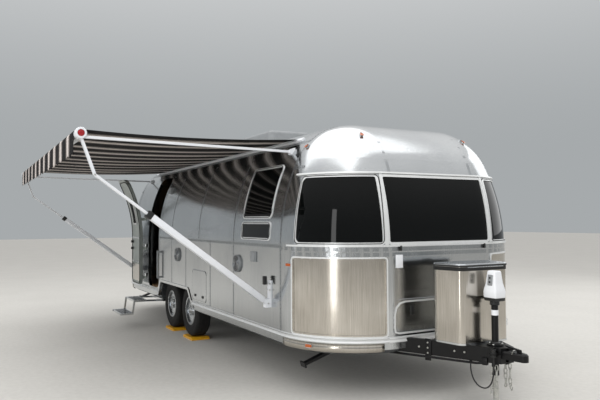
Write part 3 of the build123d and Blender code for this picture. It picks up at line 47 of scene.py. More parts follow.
# The shell's section and plan, as the solids have them
shell = {
    "frontX": -650 * mm,
    "rearX": -7950 * mm,
    "halfWidth": 1290 * mm,
    "breakZ": 1340 * mm,
    "sideRadius": 2000 * mm,
    "shoulderRadius": 660 * mm,
    "roofZ": 2565 * mm,
    "seamZ": 2390 * mm,
}
shoulderZ = shell["roofZ"] - shell["shoulderRadius"]
radiusStep = shell["sideRadius"] - shell["shoulderRadius"]
leanAngle = math.asin((shoulderZ - shell["breakZ"]) / radiusStep)
shoulderY = shell["halfWidth"] - shell["sideRadius"] + radiusStep * math.cos(leanAngle)
cornerRadius = shell["halfWidth"] - shoulderY
frontAxisX = shell["frontX"] - cornerRadius
rearAxisX = shell["rearX"] + cornerRadius


# ---- camera and light

cameraSetup = {
    "place": (3.836, -3.958, 1.603),
    "heading": 28.596,
    "rise": 1.926,
    "roll": -0.301,
    "lens": 37.2,
    "filmWidth": 36.0,
    "farthest": 200,
}
cameraData = bpy.data.cameras.new("camera")
cameraData.lens = cameraSetup["lens"]
cameraData.sensor_width = cameraSetup["filmWidth"]
cameraData.clip_end = cameraSetup["farthest"]
camera = bpy.data.objects.new("camera", cameraData)
camera.matrix_world = (
    Matrix.Translation(cameraSetup["place"])
    @ Matrix.Rotation(math.radians(90 - cameraSetup["heading"]), 4, "Z")
    @ Matrix.Rotation(math.radians(90 + cameraSetup["rise"]), 4, "X")
    @ Matrix.Rotation(math.radians(cameraSetup["roll"]), 4, "Z")
)
bpy.context.scene.collection.objects.link(camera)
bpy.context.scene.camera = camera
bpy.context.scene.view_settings.view_transform = "Standard"
print("camera set")


def linear(hexValue):
    # An sRGB hex value as linear light
    channels = [int(hexValue[i : i + 2], 16) / 255 for i in (1, 3, 5)]
    return [c / 12.92 if c <= 0.04045 else ((c + 0.055) / 1.055) ** 2.4 for c in channels] + [1.0]


def addNode(tree, kind, settings=None, links=None):
    # One node, its settings by socket or property name, its links by socket. A link comes from
    # a socket, or from a node's first output
    made = tree.nodes.new(kind)
    for key, value in (settings or {}).items():
        if isinstance(key, int) or key in made.inputs:
            made.inputs[key].default_value = value
        else:
            setattr(made, key, value)
    for key, source in (links or {}).items():
        tree.links.new(getattr(source, "outputs", [source])[0], made.inputs[key])
    return made


studio = {
    "backdrop": "#FFFFFF",
    "horizon": "#A6AAAC",
    "ramp": (0.10, 0.80),
    "skyLight": 0.85,
    # Name, place, aim, size, power, and whether it is mirrored in the skin
    "lamps": [
        ("overheadSoftbox", (-3.5, -1.0, 10.0), (-3.8, 0, 1.0), (15, 13), 680, True),
        ("frontSoftbox", (6.0, -6.5, 8.0), (-2.0, 0, 1.2), (5, 5), 320, False),
        ("frontStripLight", (2.65, -6.5, 2.2), (-0.9, -0.95, 2.2), (0.8, 4.3), 58, True),
        ("sideSoftbox", (-3.0, -11.0, 4.0), (-4.0, 0, 1.2), (7, 7), 220, False),
        ("streetSideFill", (-2.0, 10.0, 5.0), (-4.0, 0, 1.2), (7, 7), 190, True),
    ],
}
world = bpy.data.worlds.new("studio")
world.use_nodes = True
sky = world.node_tree
sky.nodes.clear()
rays = addNode(sky, "ShaderNodeLightPath").outputs
outwards = addNode(sky, "ShaderNodeTexCoord").outputs["Generated"]
height = addNode(sky, "ShaderNodeSeparateXYZ", links={0: outwards}).outputs["Z"]
low, high = studio["ramp"]
span = {"From Min": low, "From Max": high, "interpolation_type": "SMOOTHSTEP"}
ramp = addNode(sky, "ShaderNodeMapRange", span, {"Value": height})
ends = {"data_type": "RGBA", 6: linear(studio["horizon"]), 7: linear(studio["backdrop"])}
skyColour = addNode(sky, "ShaderNodeMix", ends, {0: ramp})
# What is seen, mirrored or looked at through glass is the backdrop, and the rest is plain light
seen = rays["Is Camera Ray"]
for kind in ("Is Glossy Ray", "Is Transmission Ray"):
    seen = addNode(sky, "ShaderNodeMath", {"operation": "MAXIMUM"}, {0: seen, 1: rays[kind]})
light = {"Color": linear("#FFFFFF"), "Strength": studio["skyLight"]}
plainSky = addNode(sky, "ShaderNodeBackground", light)
seenSky = addNode(sky, "ShaderNodeBackground", {"Strength": 1.0}, {"Color": skyColour.outputs[2]})
skyMix = addNode(sky, "ShaderNodeMixShader", links={0: seen, 1: plainSky, 2: seenSky})
addNode(sky, "ShaderNodeOutputWorld", links={"Surface": skyMix})
bpy.context.scene.world = world
for name, place, aim, size, power, mirrored in studio["lamps"]:
    lampData = bpy.data.lights.new(name, "AREA")
    lampData.shape = "RECTANGLE"
    lampData.energy = power
    lampData.size, lampData.size_y = size
    lamp = bpy.data.objects.new(name, lampData)
    lamp.location = place
    lamp.rotation_euler = (Vector(aim) - Vector(place)).to_track_quat("-Z", "Y").to_euler()
    lamp.visible_glossy = mirrored
    bpy.context.scene.collection.objects.link(lamp)


# ---- materials


def startMaterial(name):
    # An empty material, its node tree, and a socket for the place on the piece
    made = bpy.data.materials.new(name)
    made.use_nodes = True
    tree = made.node_tree
    tree.nodes.clear()
    return made, tree, addNode(tree, "ShaderNodeTexCoord").outputs["Object"]


def closeMaterial(made, tree, hexValue, sockets, links):
    # The shader and output, and the colour that stands for the material in a viewport
    shader = addNode(tree, "ShaderNodeBsdfPrincipled", sockets, links)
    addNode(tree, "ShaderNodeOutputMaterial", links={"Surface": shader})
    made.diffuse_color = linear(hexValue)
    return made


# How a fine grain and a broad drift are mixed, and the part of the noise that is spread over
# the colours and the roughness
drift = {"patchShare": 0.35, "colours": (0.36, 0.64), "roughness": (0.3, 0.7)}


def finishMaterial(name, colours, roughness, grain, patch, bump, sockets, depth=0.3, dents=None):
    # Colour and roughness drift between two values over a noise, with a bump of its own grain
    made, tree, place = startMaterial(name)
    scale = [1 / (size * mm) for size in grain]
    streaks = addNode(tree, "ShaderNodeMapping", {"Scale": scale}, {"Vector": place})
    noise = {"Scale": 1.0, "Detail": 3.0, "Roughness": 0.6}
    fine = addNode(tree, "ShaderNodeTexNoise", noise, {"Vector": streaks})
    noise = {"Scale": 1 / (patch * mm), "Detail": 2.0}
    broad = addNode(tree, "ShaderNodeTexNoise", noise, {"Vector": place})
    both = addNode(tree, "ShaderNodeMix", {0: drift["patchShare"]}, {2: fine, 3: broad})
    low, high = drift["colours"]
    spread = addNode(tree, "ShaderNodeMapRange", {"From Min": low, "From Max": high}, {"Value": both})
    ends = {"data_type": "RGBA", 6: linear(colours[0]), 7: linear(colours[1])}
    colour = addNode(tree, "ShaderNodeMix", ends, {0: spread}).outputs[2]
    low, high = drift["roughness"]
    ends = {"From Min": low, "From Max": high, "To Min": roughness[0], "To Max": roughness[1]}
    rough = addNode(tree, "ShaderNodeMapRange", ends, {"Value": both})
    relief = addNode(tree, "ShaderNodeBump", {"Strength": bump, "Distance": depth * mm}, {"Height": fine})
    if dents:
        size, sink = dents
        noise = {"Scale": 1 / (size * mm), "Detail": 0.0}
        swell = addNode(tree, "ShaderNodeTexNoise", noise, {"Vector": place})
        bumps = {"Strength": 1.0, "Distance": sink * mm}
        relief = addNode(tree, "ShaderNodeBump", bumps, {"Height": swell, "Normal": relief})
    links = {"Base Color": colour, "Roughness": rough, "Normal": relief}
    return closeMaterial(made, tree, colours[0], sockets, links)


metal = {"Metallic": 1.0}
lens = {"IOR": 1.49, "Coat Weight": 0.5, "Coat Roughness": 0.03}
# Each look: two colours, the roughness's two ends, the grain's size in mm along each axis (a long
# axis gives streaks that way), the broad drift's size in mm, the bump's strength, the shader's
# sockets, the bump's depth in mm where it isn't 0.3, and the size and depth in mm of dents
looks = {
    # Rolled aluminium sheet, polished: a soft mirror with fine upright streaks and slight oil-canning
    "polishedAluminium": (
        ("#CED0D1", "#B4B7B9"), (0.11, 0.22), (5, 5, 420), 600, 0.10, metal, 0.3, (520, 5.0),
    ),
    # Lap joints of the same sheet: a little rougher, and coloured darker as painted shade along the seams
    "seamShadeAluminium": (("#AEB1B3", "#9B9EA0"), (0.24, 0.34), (5, 5, 300), 200, 0.10, metal),
    # Driven aluminium rivets: duller than the sheet round them, and coloured darker as painted shade round
    # the heads
    "rivetPaintedShade": (("#6F7274", "#5C5F61"), (0.34, 0.46), (3, 3, 3), 40, 0.10, metal),
    # Silver-white enamel on drawn trim: window frames, rails and guard edges. It is only part metal and
    # pale, so that it stays bright: painted reflection of a bright sky on the trim
    "paleEnamelSheen": (("#E2E3E3", "#D6D8D8"), (0.26, 0.36), (40, 3, 3), 200, 0.06, {"Metallic": 0.4}),
    # Brushed stainless sheet: closer upright lines, a little warmer and brighter
    "brushedStainless": (("#CFCAC2", "#ABA59B"), (0.12, 0.24), (3, 3, 300), 350, 0.14, metal),
    # Bright drawn aluminium extrusion
    "brightTrim": (("#D3D5D6", "#C2C5C7"), (0.14, 0.24), (40, 3, 3), 200, 0.08, metal),
    # Anodised door liner: satin grey with a green cast
    "anodisedLiner": (("#A9AFAB", "#9AA19D"), (0.34, 0.46), (4, 4, 200), 260, 0.10, {"Metallic": 0.75}),
    # Tempered privacy glass: almost black, with a clean hard gloss
    "privacyGlass": (
        ("#040505", "#070808"), (0.02, 0.05), (30, 30, 30), 400, 0.0,
        {"IOR": 1.52, "Specular IOR Level": 0.18},
    ),
    # Semi-gloss black chassis enamel over hot-rolled steel
    "chassisEnamel": (
        ("#060607", "#0D0D0E"), (0.28, 0.42), (6, 6, 6), 90, 0.22,
        {"IOR": 1.5, "Specular IOR Level": 0.3},
    ),
    # Hot-dip galvanised sheet: grey spangle
    "galvanisedSheet": (("#6E7173", "#55585A"), (0.38, 0.56), (22, 22, 22), 160, 0.15, {"Metallic": 0.85}),
    # Zinc-plated steel: bright, slightly yellow-grey
    "zincPlate": (("#D6D6D2", "#ADADA8"), (0.24, 0.42), (5, 5, 5), 30, 0.2, metal),
    # Machined and lacquered cast alloy
    "machinedAlloy": (
        ("#C4C7CA", "#A9ADB1"), (0.16, 0.28), (4, 4, 4), 60, 0.10,
        {"Metallic": 1.0, "Coat Weight": 0.2},
    ),
    # Road tyre compound: near black, dusty
    "tyreCompound": (
        ("#131313", "#242322"), (0.68, 0.86), (3, 3, 3), 45, 0.5,
        {"IOR": 1.5, "Specular IOR Level": 0.35},
    ),
    # Moulded polypropylene pad: ochre yellow, waxy
    "yellowPolypropylene": (("#D9A21E", "#C48D15"), (0.40, 0.56), (2, 2, 2), 50, 0.3, {"IOR": 1.49}),
    # White powder coat on aluminium channel: a faint orange peel
    "whitePowderCoat": (
        ("#DFE1E4", "#D2D5DA"), (0.28, 0.38), (1.5, 1.5, 1.5), 200, 0.25,
        {"IOR": 1.5, "Coat Weight": 0.1}, 0.12,
    ),
    # White ABS, textured in the mould
    "whiteAbs": (("#E4E6E9", "#DADCE0"), (0.40, 0.52), (1.6, 1.6, 1.6), 120, 0.3, {"IOR": 1.54}),
    # Grey ABS trim, textured in the mould
    "greyAbs": (("#8B8E90", "#7D8082"), (0.42, 0.54), (1.6, 1.6, 1.6), 60, 0.3, {"IOR": 1.54}),
    # Black moulded nylon: knobs, plugs and latches with a dull gloss
    "blackNylon": (("#0E0E0F", "#191A1A"), (0.36, 0.52), (1.4, 1.4, 1.4), 30, 0.3, {"IOR": 1.53}),
    # Black EPDM seal: matt
    "sealRubber": (("#0C0C0C", "#161616"), (0.52, 0.68), (2, 2, 2), 40, 0.3, {"IOR": 1.5}),
    # Clear-coated grey sheet on the gas cover's lid
    "coatedLid": (
        ("#ABAEB1", "#94989B"), (0.16, 0.26), (2, 2, 2), 160, 0.15,
        {"Metallic": 0.85, "Coat Weight": 0.3, "Coat Roughness": 0.08},
    ),
    # Sealed birch ply with a vinyl face
    "plyFloor": (("#9A7B57", "#7F6345"), (0.42, 0.56), (260, 8, 8), 300, 0.2, {"IOR": 1.5}),
    # Amber and red acrylic lenses, prismed inside
    "amberLens": (("#C05C16", "#7E3509"), (0.10, 0.18), (4, 4, 4), 14, 0.5, lens),
    "redLens": (("#A3121A", "#7C0A11"), (0.10, 0.18), (5, 5, 5), 20, 0.5, lens),
    # White enamel on the gas bottles
    "bottleEnamel": (("#D8D8D2", "#C9C9C2"), (0.22, 0.34), (3, 3, 3), 90, 0.15, {"IOR": 1.5}),
    # Cable jacket: black PVC
    "cableJacket": (("#101011", "#1B1B1C"), (0.40, 0.52), (3, 3, 3), 30, 0.2, {"IOR": 1.5}),
    # The studio's floor: pale matt concrete
    "studioFloor": (
        ("#C9C7C2", "#C2C0BB"), (0.75, 0.9), (60, 60, 60), 900, 0.05, {"Specular IOR Level": 0.2},
    ),
}
materials = {name: finishMaterial(name, *look) for name, look in looks.items()}

# The CAD nodes' finishes
nodeFinish = {
    "polishedAluminium": [
        "curb_side_wall", "street_side_wall", "roof_panel", "front_end_lower", "front_end_upper",
        "rear_end_lower", "rear_end_upper", "locker_door", "front_hatch", "service_covers",
    ],
    "anodisedLiner": ["entry_door"],
    "plyFloor": ["floor"],
    "galvanisedSheet": ["belly_pan", "wheel_wells", "stabiliser_brackets"],
    "brightTrim": ["wheel_arch_trims", "door_hinges", "rear_bumper", "entry_step"],
    "paleEnamelSheen": ["rub_rail", "window_frames"],
    "brushedStainless": ["stone_guards", "gas_cover"],
    "privacyGlass": ["window_glass", "entry_door_glass"],
    "chassisEnamel": [
        "a_frame", "coupler", "jack_post", "front_axle", "rear_axle", "stabiliser_front_left",
        "stabiliser_front_right", "stabiliser_rear_left", "stabiliser_rear_right",
    ],
    "whiteAbs": ["jack_head", "roof_vents"],
    "zincPlate": ["jack_leg", "safety_chains"],
    "bottleEnamel": ["gas_bottles"],
    "coatedLid": ["gas_cover_lid"],
    "cableJacket": ["tow_cable"],
    "blackNylon": ["tow_plug"],
    "tyreCompound": ["front_left_tyre", "front_right_tyre", "rear_left_tyre", "rear_right_tyre"],
    "machinedAlloy": ["front_left_rim", "front_right_rim", "rear_left_rim", "rear_right_rim"],
    "yellowPolypropylene": ["leveling_pads"],
    "whitePowderCoat": ["awning_rail", "front_awning_arm", "rear_awning_arm", "awning_roller"],
    "amberLens": ["marker_lights"],
    "redLens": ["tail_lights"],
    "greyAbs": ["side_fittings", "air_conditioner"],
    "awningFabric": ["awning_cloth"],
}

# The threads are 0.5 mm in the real cloth and drawn at 3 mm so that they show
fabric = {
    "repeat": 0.46,
    "thread": 3 * mm,
    "bands": [
        # The palest band colour is the stripes' own grey-beige lightened as painted glow of light shining
        # through the cloth
        (0.0, "#131214"), (0.26, "#8C847F"), (0.31, "#131214"), (0.36, "#D6CDC8"), (0.52, "#2A2729"),
        (0.56, "#D6CDC8"), (0.62, "#131214"), (0.67, "#8C847F"), (0.72, "#131214"),
    ],
}


def stripedFabric():
    # Woven acrylic: charcoal with groups of grey-beige stripes from the rail to the roller; the palest
    # stripes are also lightened as painted glow of the light that comes through the cloth
    made, tree, _ = startMaterial("awningFabric")
    cloth = addNode(tree, "ShaderNodeUVMap", {"uv_map": "UVMap"})
    along = addNode(tree, "ShaderNodeSeparateXYZ", links={0: cloth}).outputs["X"]
    repeat = addNode(tree, "ShaderNodeMath", {"operation": "DIVIDE", 1: fabric["repeat"]}, {0: along})
    part = addNode(tree, "ShaderNodeMath", {"operation": "FRACT"}, {0: repeat})
    stripes = addNode(tree, "ShaderNodeValToRGB", links={0: part})
    stops = stripes.color_ramp.elements
    stripes.color_ramp.interpolation = "CONSTANT"
    for index, (position, colour) in enumerate(fabric["bands"]):
        stop = stops[index] if index < 2 else stops.new(position)
        stop.position = position
        stop.color = linear(colour)
    scale = (1 / fabric["thread"], 1 / fabric["thread"], 1)
    scaled = addNode(tree, "ShaderNodeMapping", {"Scale": scale}, {"Vector": cloth})
    waves = {"wave_type": "BANDS", "bands_direction": "DIAGONAL", "Scale": 0.5, "Distortion": 0.4}
    weave = addNode(tree, "ShaderNodeTexWave", waves, {"Vector": scaled}).outputs["Color"]
    bump = addNode(tree, "ShaderNodeBump", {"Strength": 0.35, "Distance": 0.4 * mm}, {"Height": weave})
    sockets = {"Roughness": 0.9, "Specular IOR Level": 0.2}
    links = {"Base Color": stripes, "Normal": bump}
    return closeMaterial(made, tree, fabric["bands"][0][1], sockets, links)


materials["awningFabric"] = stripedFabric()
for finish, members in nodeFinish.items():
    for member in members:
        data = nodes[member].data
        data.materials.clear()
        data.materials.append(materials[finish])
print("materials made")

floorSize = 60
floorMesh = bmesh.new()
bmesh.ops.create_grid(floorMesh, x_segments=1, y_segments=1, size=floorSize)
floorData = bpy.data.meshes.new("studioFloor")
floorMesh.to_mesh(floorData)
floorMesh.free()
floorData.materials.append(materials["studioFloor"])
studioFloor = bpy.data.objects.new("studioFloor", floorData)
bpy.context.scene.collection.objects.link(studioFloor)


# ---- places on the skin

quarterEnd = shoulderY + cornerRadius * math.pi / 2
breakTopZ = shell["breakZ"] + shell["sideRadius"] * math.sin(leanAngle)


def sectionAt(z):
    # How far the skin leans in at a height, and how far its outward side tilts up
    if z <= shell["breakZ"]:
        return 0.0, 0.0
    if z <= breakTopZ:
        tilt = math.asin((z - shell["breakZ"]) / shell["sideRadius"])
        return shell["sideRadius"] * (1 - math.cos(tilt)), tilt
    tilt = math.asin(min(1.0, (z - shoulderZ) / shell["shoulderRadius"]))
    return cornerRadius - shell["shoulderRadius"] * math.cos(tilt), tilt


def onSkin(end, side):
    # A function from (along, z, out) to a point of the skin and its outward direction. along
    # runs from the middle of an end round its corner and down the side wall
    axisX = frontAxisX if end > 0 else rearAxisX

    def spot(along, z, out=0.0):
        lean, tilt = sectionAt(z)
        turn = min(max((along - shoulderY) / cornerRadius, 0.0), math.pi / 2)
        reach = cornerRadius - lean + out * math.cos(tilt)
        x = axisX + end * (reach * math.cos(turn) - max(along - quarterEnd, 0.0))
        y = side * (min(along, shoulderY) + reach * math.sin(turn))
        away = Vector((end * math.cos(turn), side * math.sin(turn), 0)) * math.cos(tilt)
        away.z = math.sin(tilt)
        return Vector((x, y, z + out * math.sin(tilt))), away

    return spot


def wallAlong(x):
    # The along value of a place on a side wall, counted from the front
    return quarterEnd + frontAxisX - x


def angleAlong(degrees):
    return shoulderY + cornerRadius * math.radians(degrees)


def onRoof(x, share, out=0.0):
    # share runs from the curb side's roof seam at 0 over the top to the street side's at 1
    seamTilt = sectionAt(shell["seamZ"])[1]
    radius = shell["shoulderRadius"]
    bend = radius * (math.pi / 2 - seamTilt)
    travel = abs(share - 0.5) * 2 * (bend + shoulderY)
    side = 1 if share > 0.5 else -1
    tilt = math.pi / 2 - max(travel - shoulderY, 0.0) / radius
    y = side * (min(travel, shoulderY) + (radius + out) * math.cos(tilt))
    place = Vector((x, y, shoulderZ + (radius + out) * math.sin(tilt)))
    return place, Vector((0, side * math.cos(tilt), math.sin(tilt)))


def loopPath(a0, a1, z0, z1, radius, steps=5):
    # A closed path round a rounded rectangle in (along, z)
    points = []
    for a, z, start in [(a1, z1, 0), (a0, z1, 90), (a0, z0, 180), (a1, z0, 270)]:
        middleA = a - radius if a == a1 else a + radius
        middleZ = z - radius if z == z1 else z + radius
        for step in range(steps + 1):
            angle = math.radians(start + 90 * step / steps)
            points.append((middleA + radius * math.cos(angle), middleZ + radius * math.sin(angle)))
    return points + points[:1]


def cutPath(path, pitch):
    # Points at an even pitch along a path in (along, z)
    found = []
    for (a0, z0), (a1, z1) in zip(path, path[1:]):
        count = max(1, round(math.hypot(a1 - a0, z1 - z0) / pitch))
        for step in range(count):
            share = step / count
            found.append((a0 + (a1 - a0) * share, z0 + (z1 - z0) * share))
    return found + [path[-1]]


# The pitches at which a long strip follows the curve of the skin
fineCut, coarseCut = 50 * mm, 60 * mm


def spotsAlong(spot, path, pitch, out):
    return [spot(a, z, out) for a, z in cutPath(path, pitch)]


# ---- making pieces: sizes across a piece are given to these in mm

sharpAngle = math.radians(38)


def addData(name, data, finish, body="root", slot=None, smooth=True, replaces=()):
    # Mesh data becomes a piece at the origin that rides on a body
    for face in data.polygons:
        face.use_smooth = smooth
    if smooth:
        data.set_sharp_from_angle(angle=sharpAngle)
    data.materials.append(materials[finish])
    piece = bpy.data.objects.new(name, data)
    bpy.context.scene.collection.objects.link(piece)
    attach(piece, body)
    if replaces:
        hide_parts(*replaces)
    return piece


def addPiece(name, mesh, finish, **options):
    data = bpy.data.meshes.new(name)
    mesh.to_mesh(data)
    mesh.free()
    return addData(name, data, finish, **options)


def addShape(name, points, faces, finish, **options):
    mesh = bmesh.new()
    corners = [mesh.verts.new(point) for point in points]
    for face in faces:
        mesh.faces.new([corners[index] for index in face])
    bmesh.ops.recalc_face_normals(mesh, faces=mesh.faces)
    return addPiece(name, mesh, finish, **options)


def frameOf(direction):
    # Two directions across the given one
    ahead = direction.normalized()
    first = ahead.cross(zWay if abs(ahead.z) < 0.9 else xWay).normalized()
    return first, ahead.cross(first)


def beside(path, index, closed):
    # The points before and after one of a path, which may be closed
    back = path[index - 1] if index or closed else path[0]
    return back, path[(index + 1) % len(path)] if index + 1 < len(path) or closed else path[index]


def sweptFaces(base, count, sides, closed):
    # The faces round a row of sections that have this many corners each
    faces = []
    for index in range(count if closed else count - 1):
        here = base + sides * index
        there = base + sides * ((index + 1) % count)
        for step in range(sides):
            after = (step + 1) % sides
            faces.append((here + step, there + step, there + after, here + after))
    if not closed:
        last = base + sides * (count - 1)
        faces += [range(base, base + sides), range(last, last + sides)]
    return faces


def strip(name, rows, wide, thick, finish, low=0.0, **options):
    # Flat bands that lie on a surface. Row: place function, path in its own two numbers, which
    # is closed when it ends where it starts
    points, faces = [], []
    for spot, path in rows:
        closed = path[0] == path[-1]
        path = path[:-1] if closed else path
        base = len(points)
        for index, (a, z) in enumerate(path):
            back, ahead = beside(path, index, closed)
            da = ahead[0] - back[0]
            dz = ahead[1] - back[1]
            half = wide * mm / 2 / math.hypot(da, dz)
            for sign, out in ((-1, low), (-1, thick), (1, thick), (1, low)):
                points.append(spot(a - sign * dz * half, z + sign * da * half, out * mm)[0])
        faces += sweptFaces(base, len(path), 4, closed)
    return addShape(name, points, faces, finish, smooth=False, **options)


def studs(name, spots, radius, high, finish, sides=8, crown=0.6, sink=0.3, **options):
    # Rivet or bolt heads: each a low frustum at a (place, direction). They are made a batch at a
    # time, because each operator takes longer on a larger mesh
    whole = bmesh.new()
    batch = 150
    for start in range(0, len(spots), batch):
        mesh = bmesh.new()
        for place, away in spots[start : start + batch]:
            turn = away.to_track_quat("Z", "Y").to_matrix().to_4x4()
            bmesh.ops.create_cone(
                mesh,
                cap_ends=True,
                segments=sides,
                radius1=radius * mm,
                radius2=radius * crown * mm,
                depth=(high + sink) * mm,
                matrix=Matrix.Translation(place + away * (high - sink) / 2 * mm) @ turn,
            )
        data = bpy.data.meshes.new(name + "Batch")
        mesh.to_mesh(data)
        mesh.free()
        whole.from_mesh(data)
        bpy.data.meshes.remove(data)
    return addPiece(name, whole, finish, smooth=False, **options)


def circle(centre, first, other, radius, count, start=0.0):
    # Points round a centre, from one direction towards another
    angles = [math.tau * (step + start) / count for step in range(count)]
    return [centre + (first * math.cos(angle) + other * math.sin(angle)) * radius for angle in angles]


def tubes(name, rows, finish, sides=8, **options):
    # Round bars along paths. Row: points, radius, closed
    points, faces = [], []
    for path, radius, closed in rows:
        path = [Vector(point) for point in path]
        base = len(points)
        across = None
        for index, place in enumerate(path):
            back, ahead = beside(path, index, closed)
            run = (ahead - back).normalized()
            if across is None:
                across = frameOf(run)[0]
            across = (across - run * across.dot(run)).normalized()
            points += circle(place, across, run.cross(across), radius * mm, sides)
        faces += sweptFaces(base, len(path), sides, closed)
    return addShape(name, points, faces, finish, **options)


def spinShape(rows, steps, closed=False):
    # Round shapes. Row: place, axis, profile of (radius, rise along the axis). closed joins the
    # ends of each profile
    mesh = bmesh.new()
    for place, axis, profile in rows:
        place = Vector(place)
        axis = Vector(axis).normalized()
        first = frameOf(axis)[0]
        line = [mesh.verts.new(place + first * (r * mm) + axis * (rise * mm)) for r, rise in profile]
        edges = [mesh.edges.new(pair) for pair in zip(line, line[1:])]
        if closed:
            edges.append(mesh.edges.new((line[-1], line[0])))
        bmesh.ops.spin(
            mesh, geom=line + edges, cent=place, axis=axis, angle=math.tau, steps=steps, use_merge=True
        )
    bmesh.ops.remove_doubles(mesh, verts=mesh.verts, dist=0.005 * mm)
    bmesh.ops.holes_fill(mesh, edges=mesh.edges, sides=0)
    bmesh.ops.recalc_face_normals(mesh, faces=mesh.faces)
    return mesh


def turned(name, rows, finish, steps=32, **options):
    return addPiece(name, spinShape(rows, steps), finish, **options)


def soften(mesh, width, segments):
    edges = list(mesh.edges)
    bmesh.ops.bevel(
        mesh, geom=edges, offset=width * mm, segments=segments, profile=0.5, affect="EDGES", material=-1
    )


def plates(name, rows, finish, bevel=1.0, **options):
    # Boxes with softened edges. Row: centre, size, and a rotation matrix where it is turned
    mesh = bmesh.new()
    for centre, size, *turn in rows:
        place = Matrix.Translation(Vector(centre)) @ (turn[0] if turn else Matrix.Identity(4))
        bmesh.ops.create_cube(
            mesh, size=1.0, matrix=place @ Matrix.Diagonal((*(edge * mm for edge in size), 1.0))
        )
    soften(mesh, bevel, 2)
    return addPiece(name, mesh, finish, **options)


def turnTo(away, up):
    # A rotation whose z axis points away and whose y axis is as near to up as it can be
    across = up.cross(away).normalized()
    return Matrix((across, away.cross(across), away)).transposed().to_4x4()


def giveWall(piece, thick):
    wall = piece.modifiers.new("wall", "SOLIDIFY")
    wall.thickness = thick
    wall.offset = 0


# ---- tow cable

towCable = {
    "diameter": 12 * mm,
    "length": 0.578,
    "steps": 8,
    "route": [
        (-120, -163, 405.7), (-120, -163.5, 340), (-92, -163, 268), (-38, -158, 222), (30, -150, 216),
        (80, -142, 255), (102, -134, 322), (103, -128, 400), (100, -125, 478),
    ],
}


def smoothPath(points, steps):
    # A rounded path through points, by Catmull-Rom pieces
    found = []
    last = len(points) - 1
    for index in range(last):
        p0, p1 = points[max(index - 1, 0)], points[index]
        p2, p3 = points[index + 1], points[min(index + 2, last)]
        for step in range(steps):
            t = step / steps
            found.append(
                0.5 * (2 * p1 + (p2 - p0) * t + (2 * p0 - 5 * p1 + 4 * p2 - p3) * t * t
                + (3 * p1 - p0 - 3 * p2 + p3) * t * t * t)
            )
    return found + [points[-1]]


cablePoints = smoothPath([Vector(point) * mm for point in towCable["route"]], towCable["steps"])
cableLength = sum((b - a).length for a, b in zip(cablePoints, cablePoints[1:]))
print("tow cable length", round(cableLength, 4))
cableRow = (cablePoints, towCable["diameter"] / mm / 2, False)
cable = tubes("towCableJacket", [cableRow], "cableJacket", sides=10, replaces=["tow_cable"])
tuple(cablePoints[0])
print("tow cable made")


# ---- awning cloth

awning = {
    "railZ": 2420 * mm,
    "railOut": 22.6 * mm,
    "railGap": 2 * mm,
    "rollerY": -3080 * mm,
    "rollerZ": 2360 * mm,
    "rollerRadius": 45 * mm,
    "rollerGap": 2.2 * mm,
    "wrapStart": math.radians(82),
    "sag": 34 * mm,
    "slack": 1.002,
    "ripple": (2.5 * mm, 9.0),
    "sway": (1.6 * mm, 17.0),
    "thick": 1.5 * mm,
    "valanceDrop": 188 * mm,
    "scallop": 26 * mm,
    "scallopLength": 260 * mm,
    "lengthCuts": 400,
    "runCuts": 40,
    "wrapCuts": 8,
    "valanceCuts": 8,
}
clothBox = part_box("awning_cloth")
rootY = clothBox[1].y
railTilt = math.asin((awning["railZ"] - shoulderZ) / shell["shoulderRadius"])
railReach = shell["shoulderRadius"] + awning["railOut"]
rootZ = shoulderZ + railReach * math.sin(railTilt) + awning["railGap"]
wrapStart = awning["wrapStart"]
wrapRadius = awning["rollerRadius"] + awning["rollerGap"]
tipY = awning["rollerY"] + wrapRadius * math.cos(wrapStart)
tipZ = awning["rollerZ"] + wrapRadius * math.sin(wrapStart)
runLength = math.hypot(rootY - tipY, rootZ - tipZ) * awning["slack"]
wrapLength = wrapRadius * (math.pi - wrapStart)
clothRows = awning["runCuts"] + awning["wrapCuts"] + awning["valanceCuts"]


def clothPoint(x, row):
    # The cloth's place at a row: rail to roller, over the roller, then the valance
    if row <= awning["runCuts"]:
        share = row / awning["runCuts"]
        dip = 4 * awning["sag"] * share * (1 - share)
        deep, waves = awning["ripple"]
        ripple = deep * math.sin(x * waves) * math.sin(math.pi * share)
        y = rootY + (tipY - rootY) * share
        return Vector((x, y, rootZ + (tipZ - rootZ) * share - dip + ripple)), share * runLength
    row -= awning["runCuts"]
    if row <= awning["wrapCuts"]:
        share = row / awning["wrapCuts"]
        angle = wrapStart + (math.pi - wrapStart) * share
        y = awning["rollerY"] + wrapRadius * math.cos(angle)
        z = awning["rollerZ"] + wrapRadius * math.sin(angle)
        return Vector((x, y, z)), runLength + share * wrapLength
    share = (row - awning["wrapCuts"]) / awning["valanceCuts"]
    scallop = awning["scallop"] * abs(math.sin(math.pi * x / awning["scallopLength"]))
    drop = (awning["valanceDrop"] - awning["scallop"] + scallop) * share
    deep, waves = awning["sway"]
    y = awning["rollerY"] - wrapRadius + deep * math.sin(x * waves) * share
    return Vector((x, y, awning["rollerZ"] - drop)), runLength + wrapLength + drop


clothFront = clothBox[1].x
clothRear = clothBox[0].x
clothMesh = bmesh.new()
bmesh.ops.create_grid(clothMesh, x_segments=awning["lengthCuts"], y_segments=clothRows, size=0.5)
clothUv = clothMesh.loops.layers.uv.new("UVMap")
places = {}
for vertex in clothMesh.verts:
    x = clothRear + (vertex.co.x + 0.5) * (clothFront - clothRear)
    places[vertex.index] = clothPoint(x, round((vertex.co.y + 0.5) * clothRows))
for face in clothMesh.faces:
    for loop in face.loops:
        place, travel = places[loop.vert.index]
        loop[clothUv].uv = (place.x, travel)
for vertex in clothMesh.verts:
    vertex.co = places[vertex.index][0]
bmesh.ops.recalc_face_normals(clothMesh, faces=clothMesh.faces)
cloth = addPiece("awningSheet", clothMesh, "awningFabric", replaces=["awning_cloth"])
giveWall(cloth, awning["thick"])
print("awning cloth made")


# ---- sheet seams and rivets

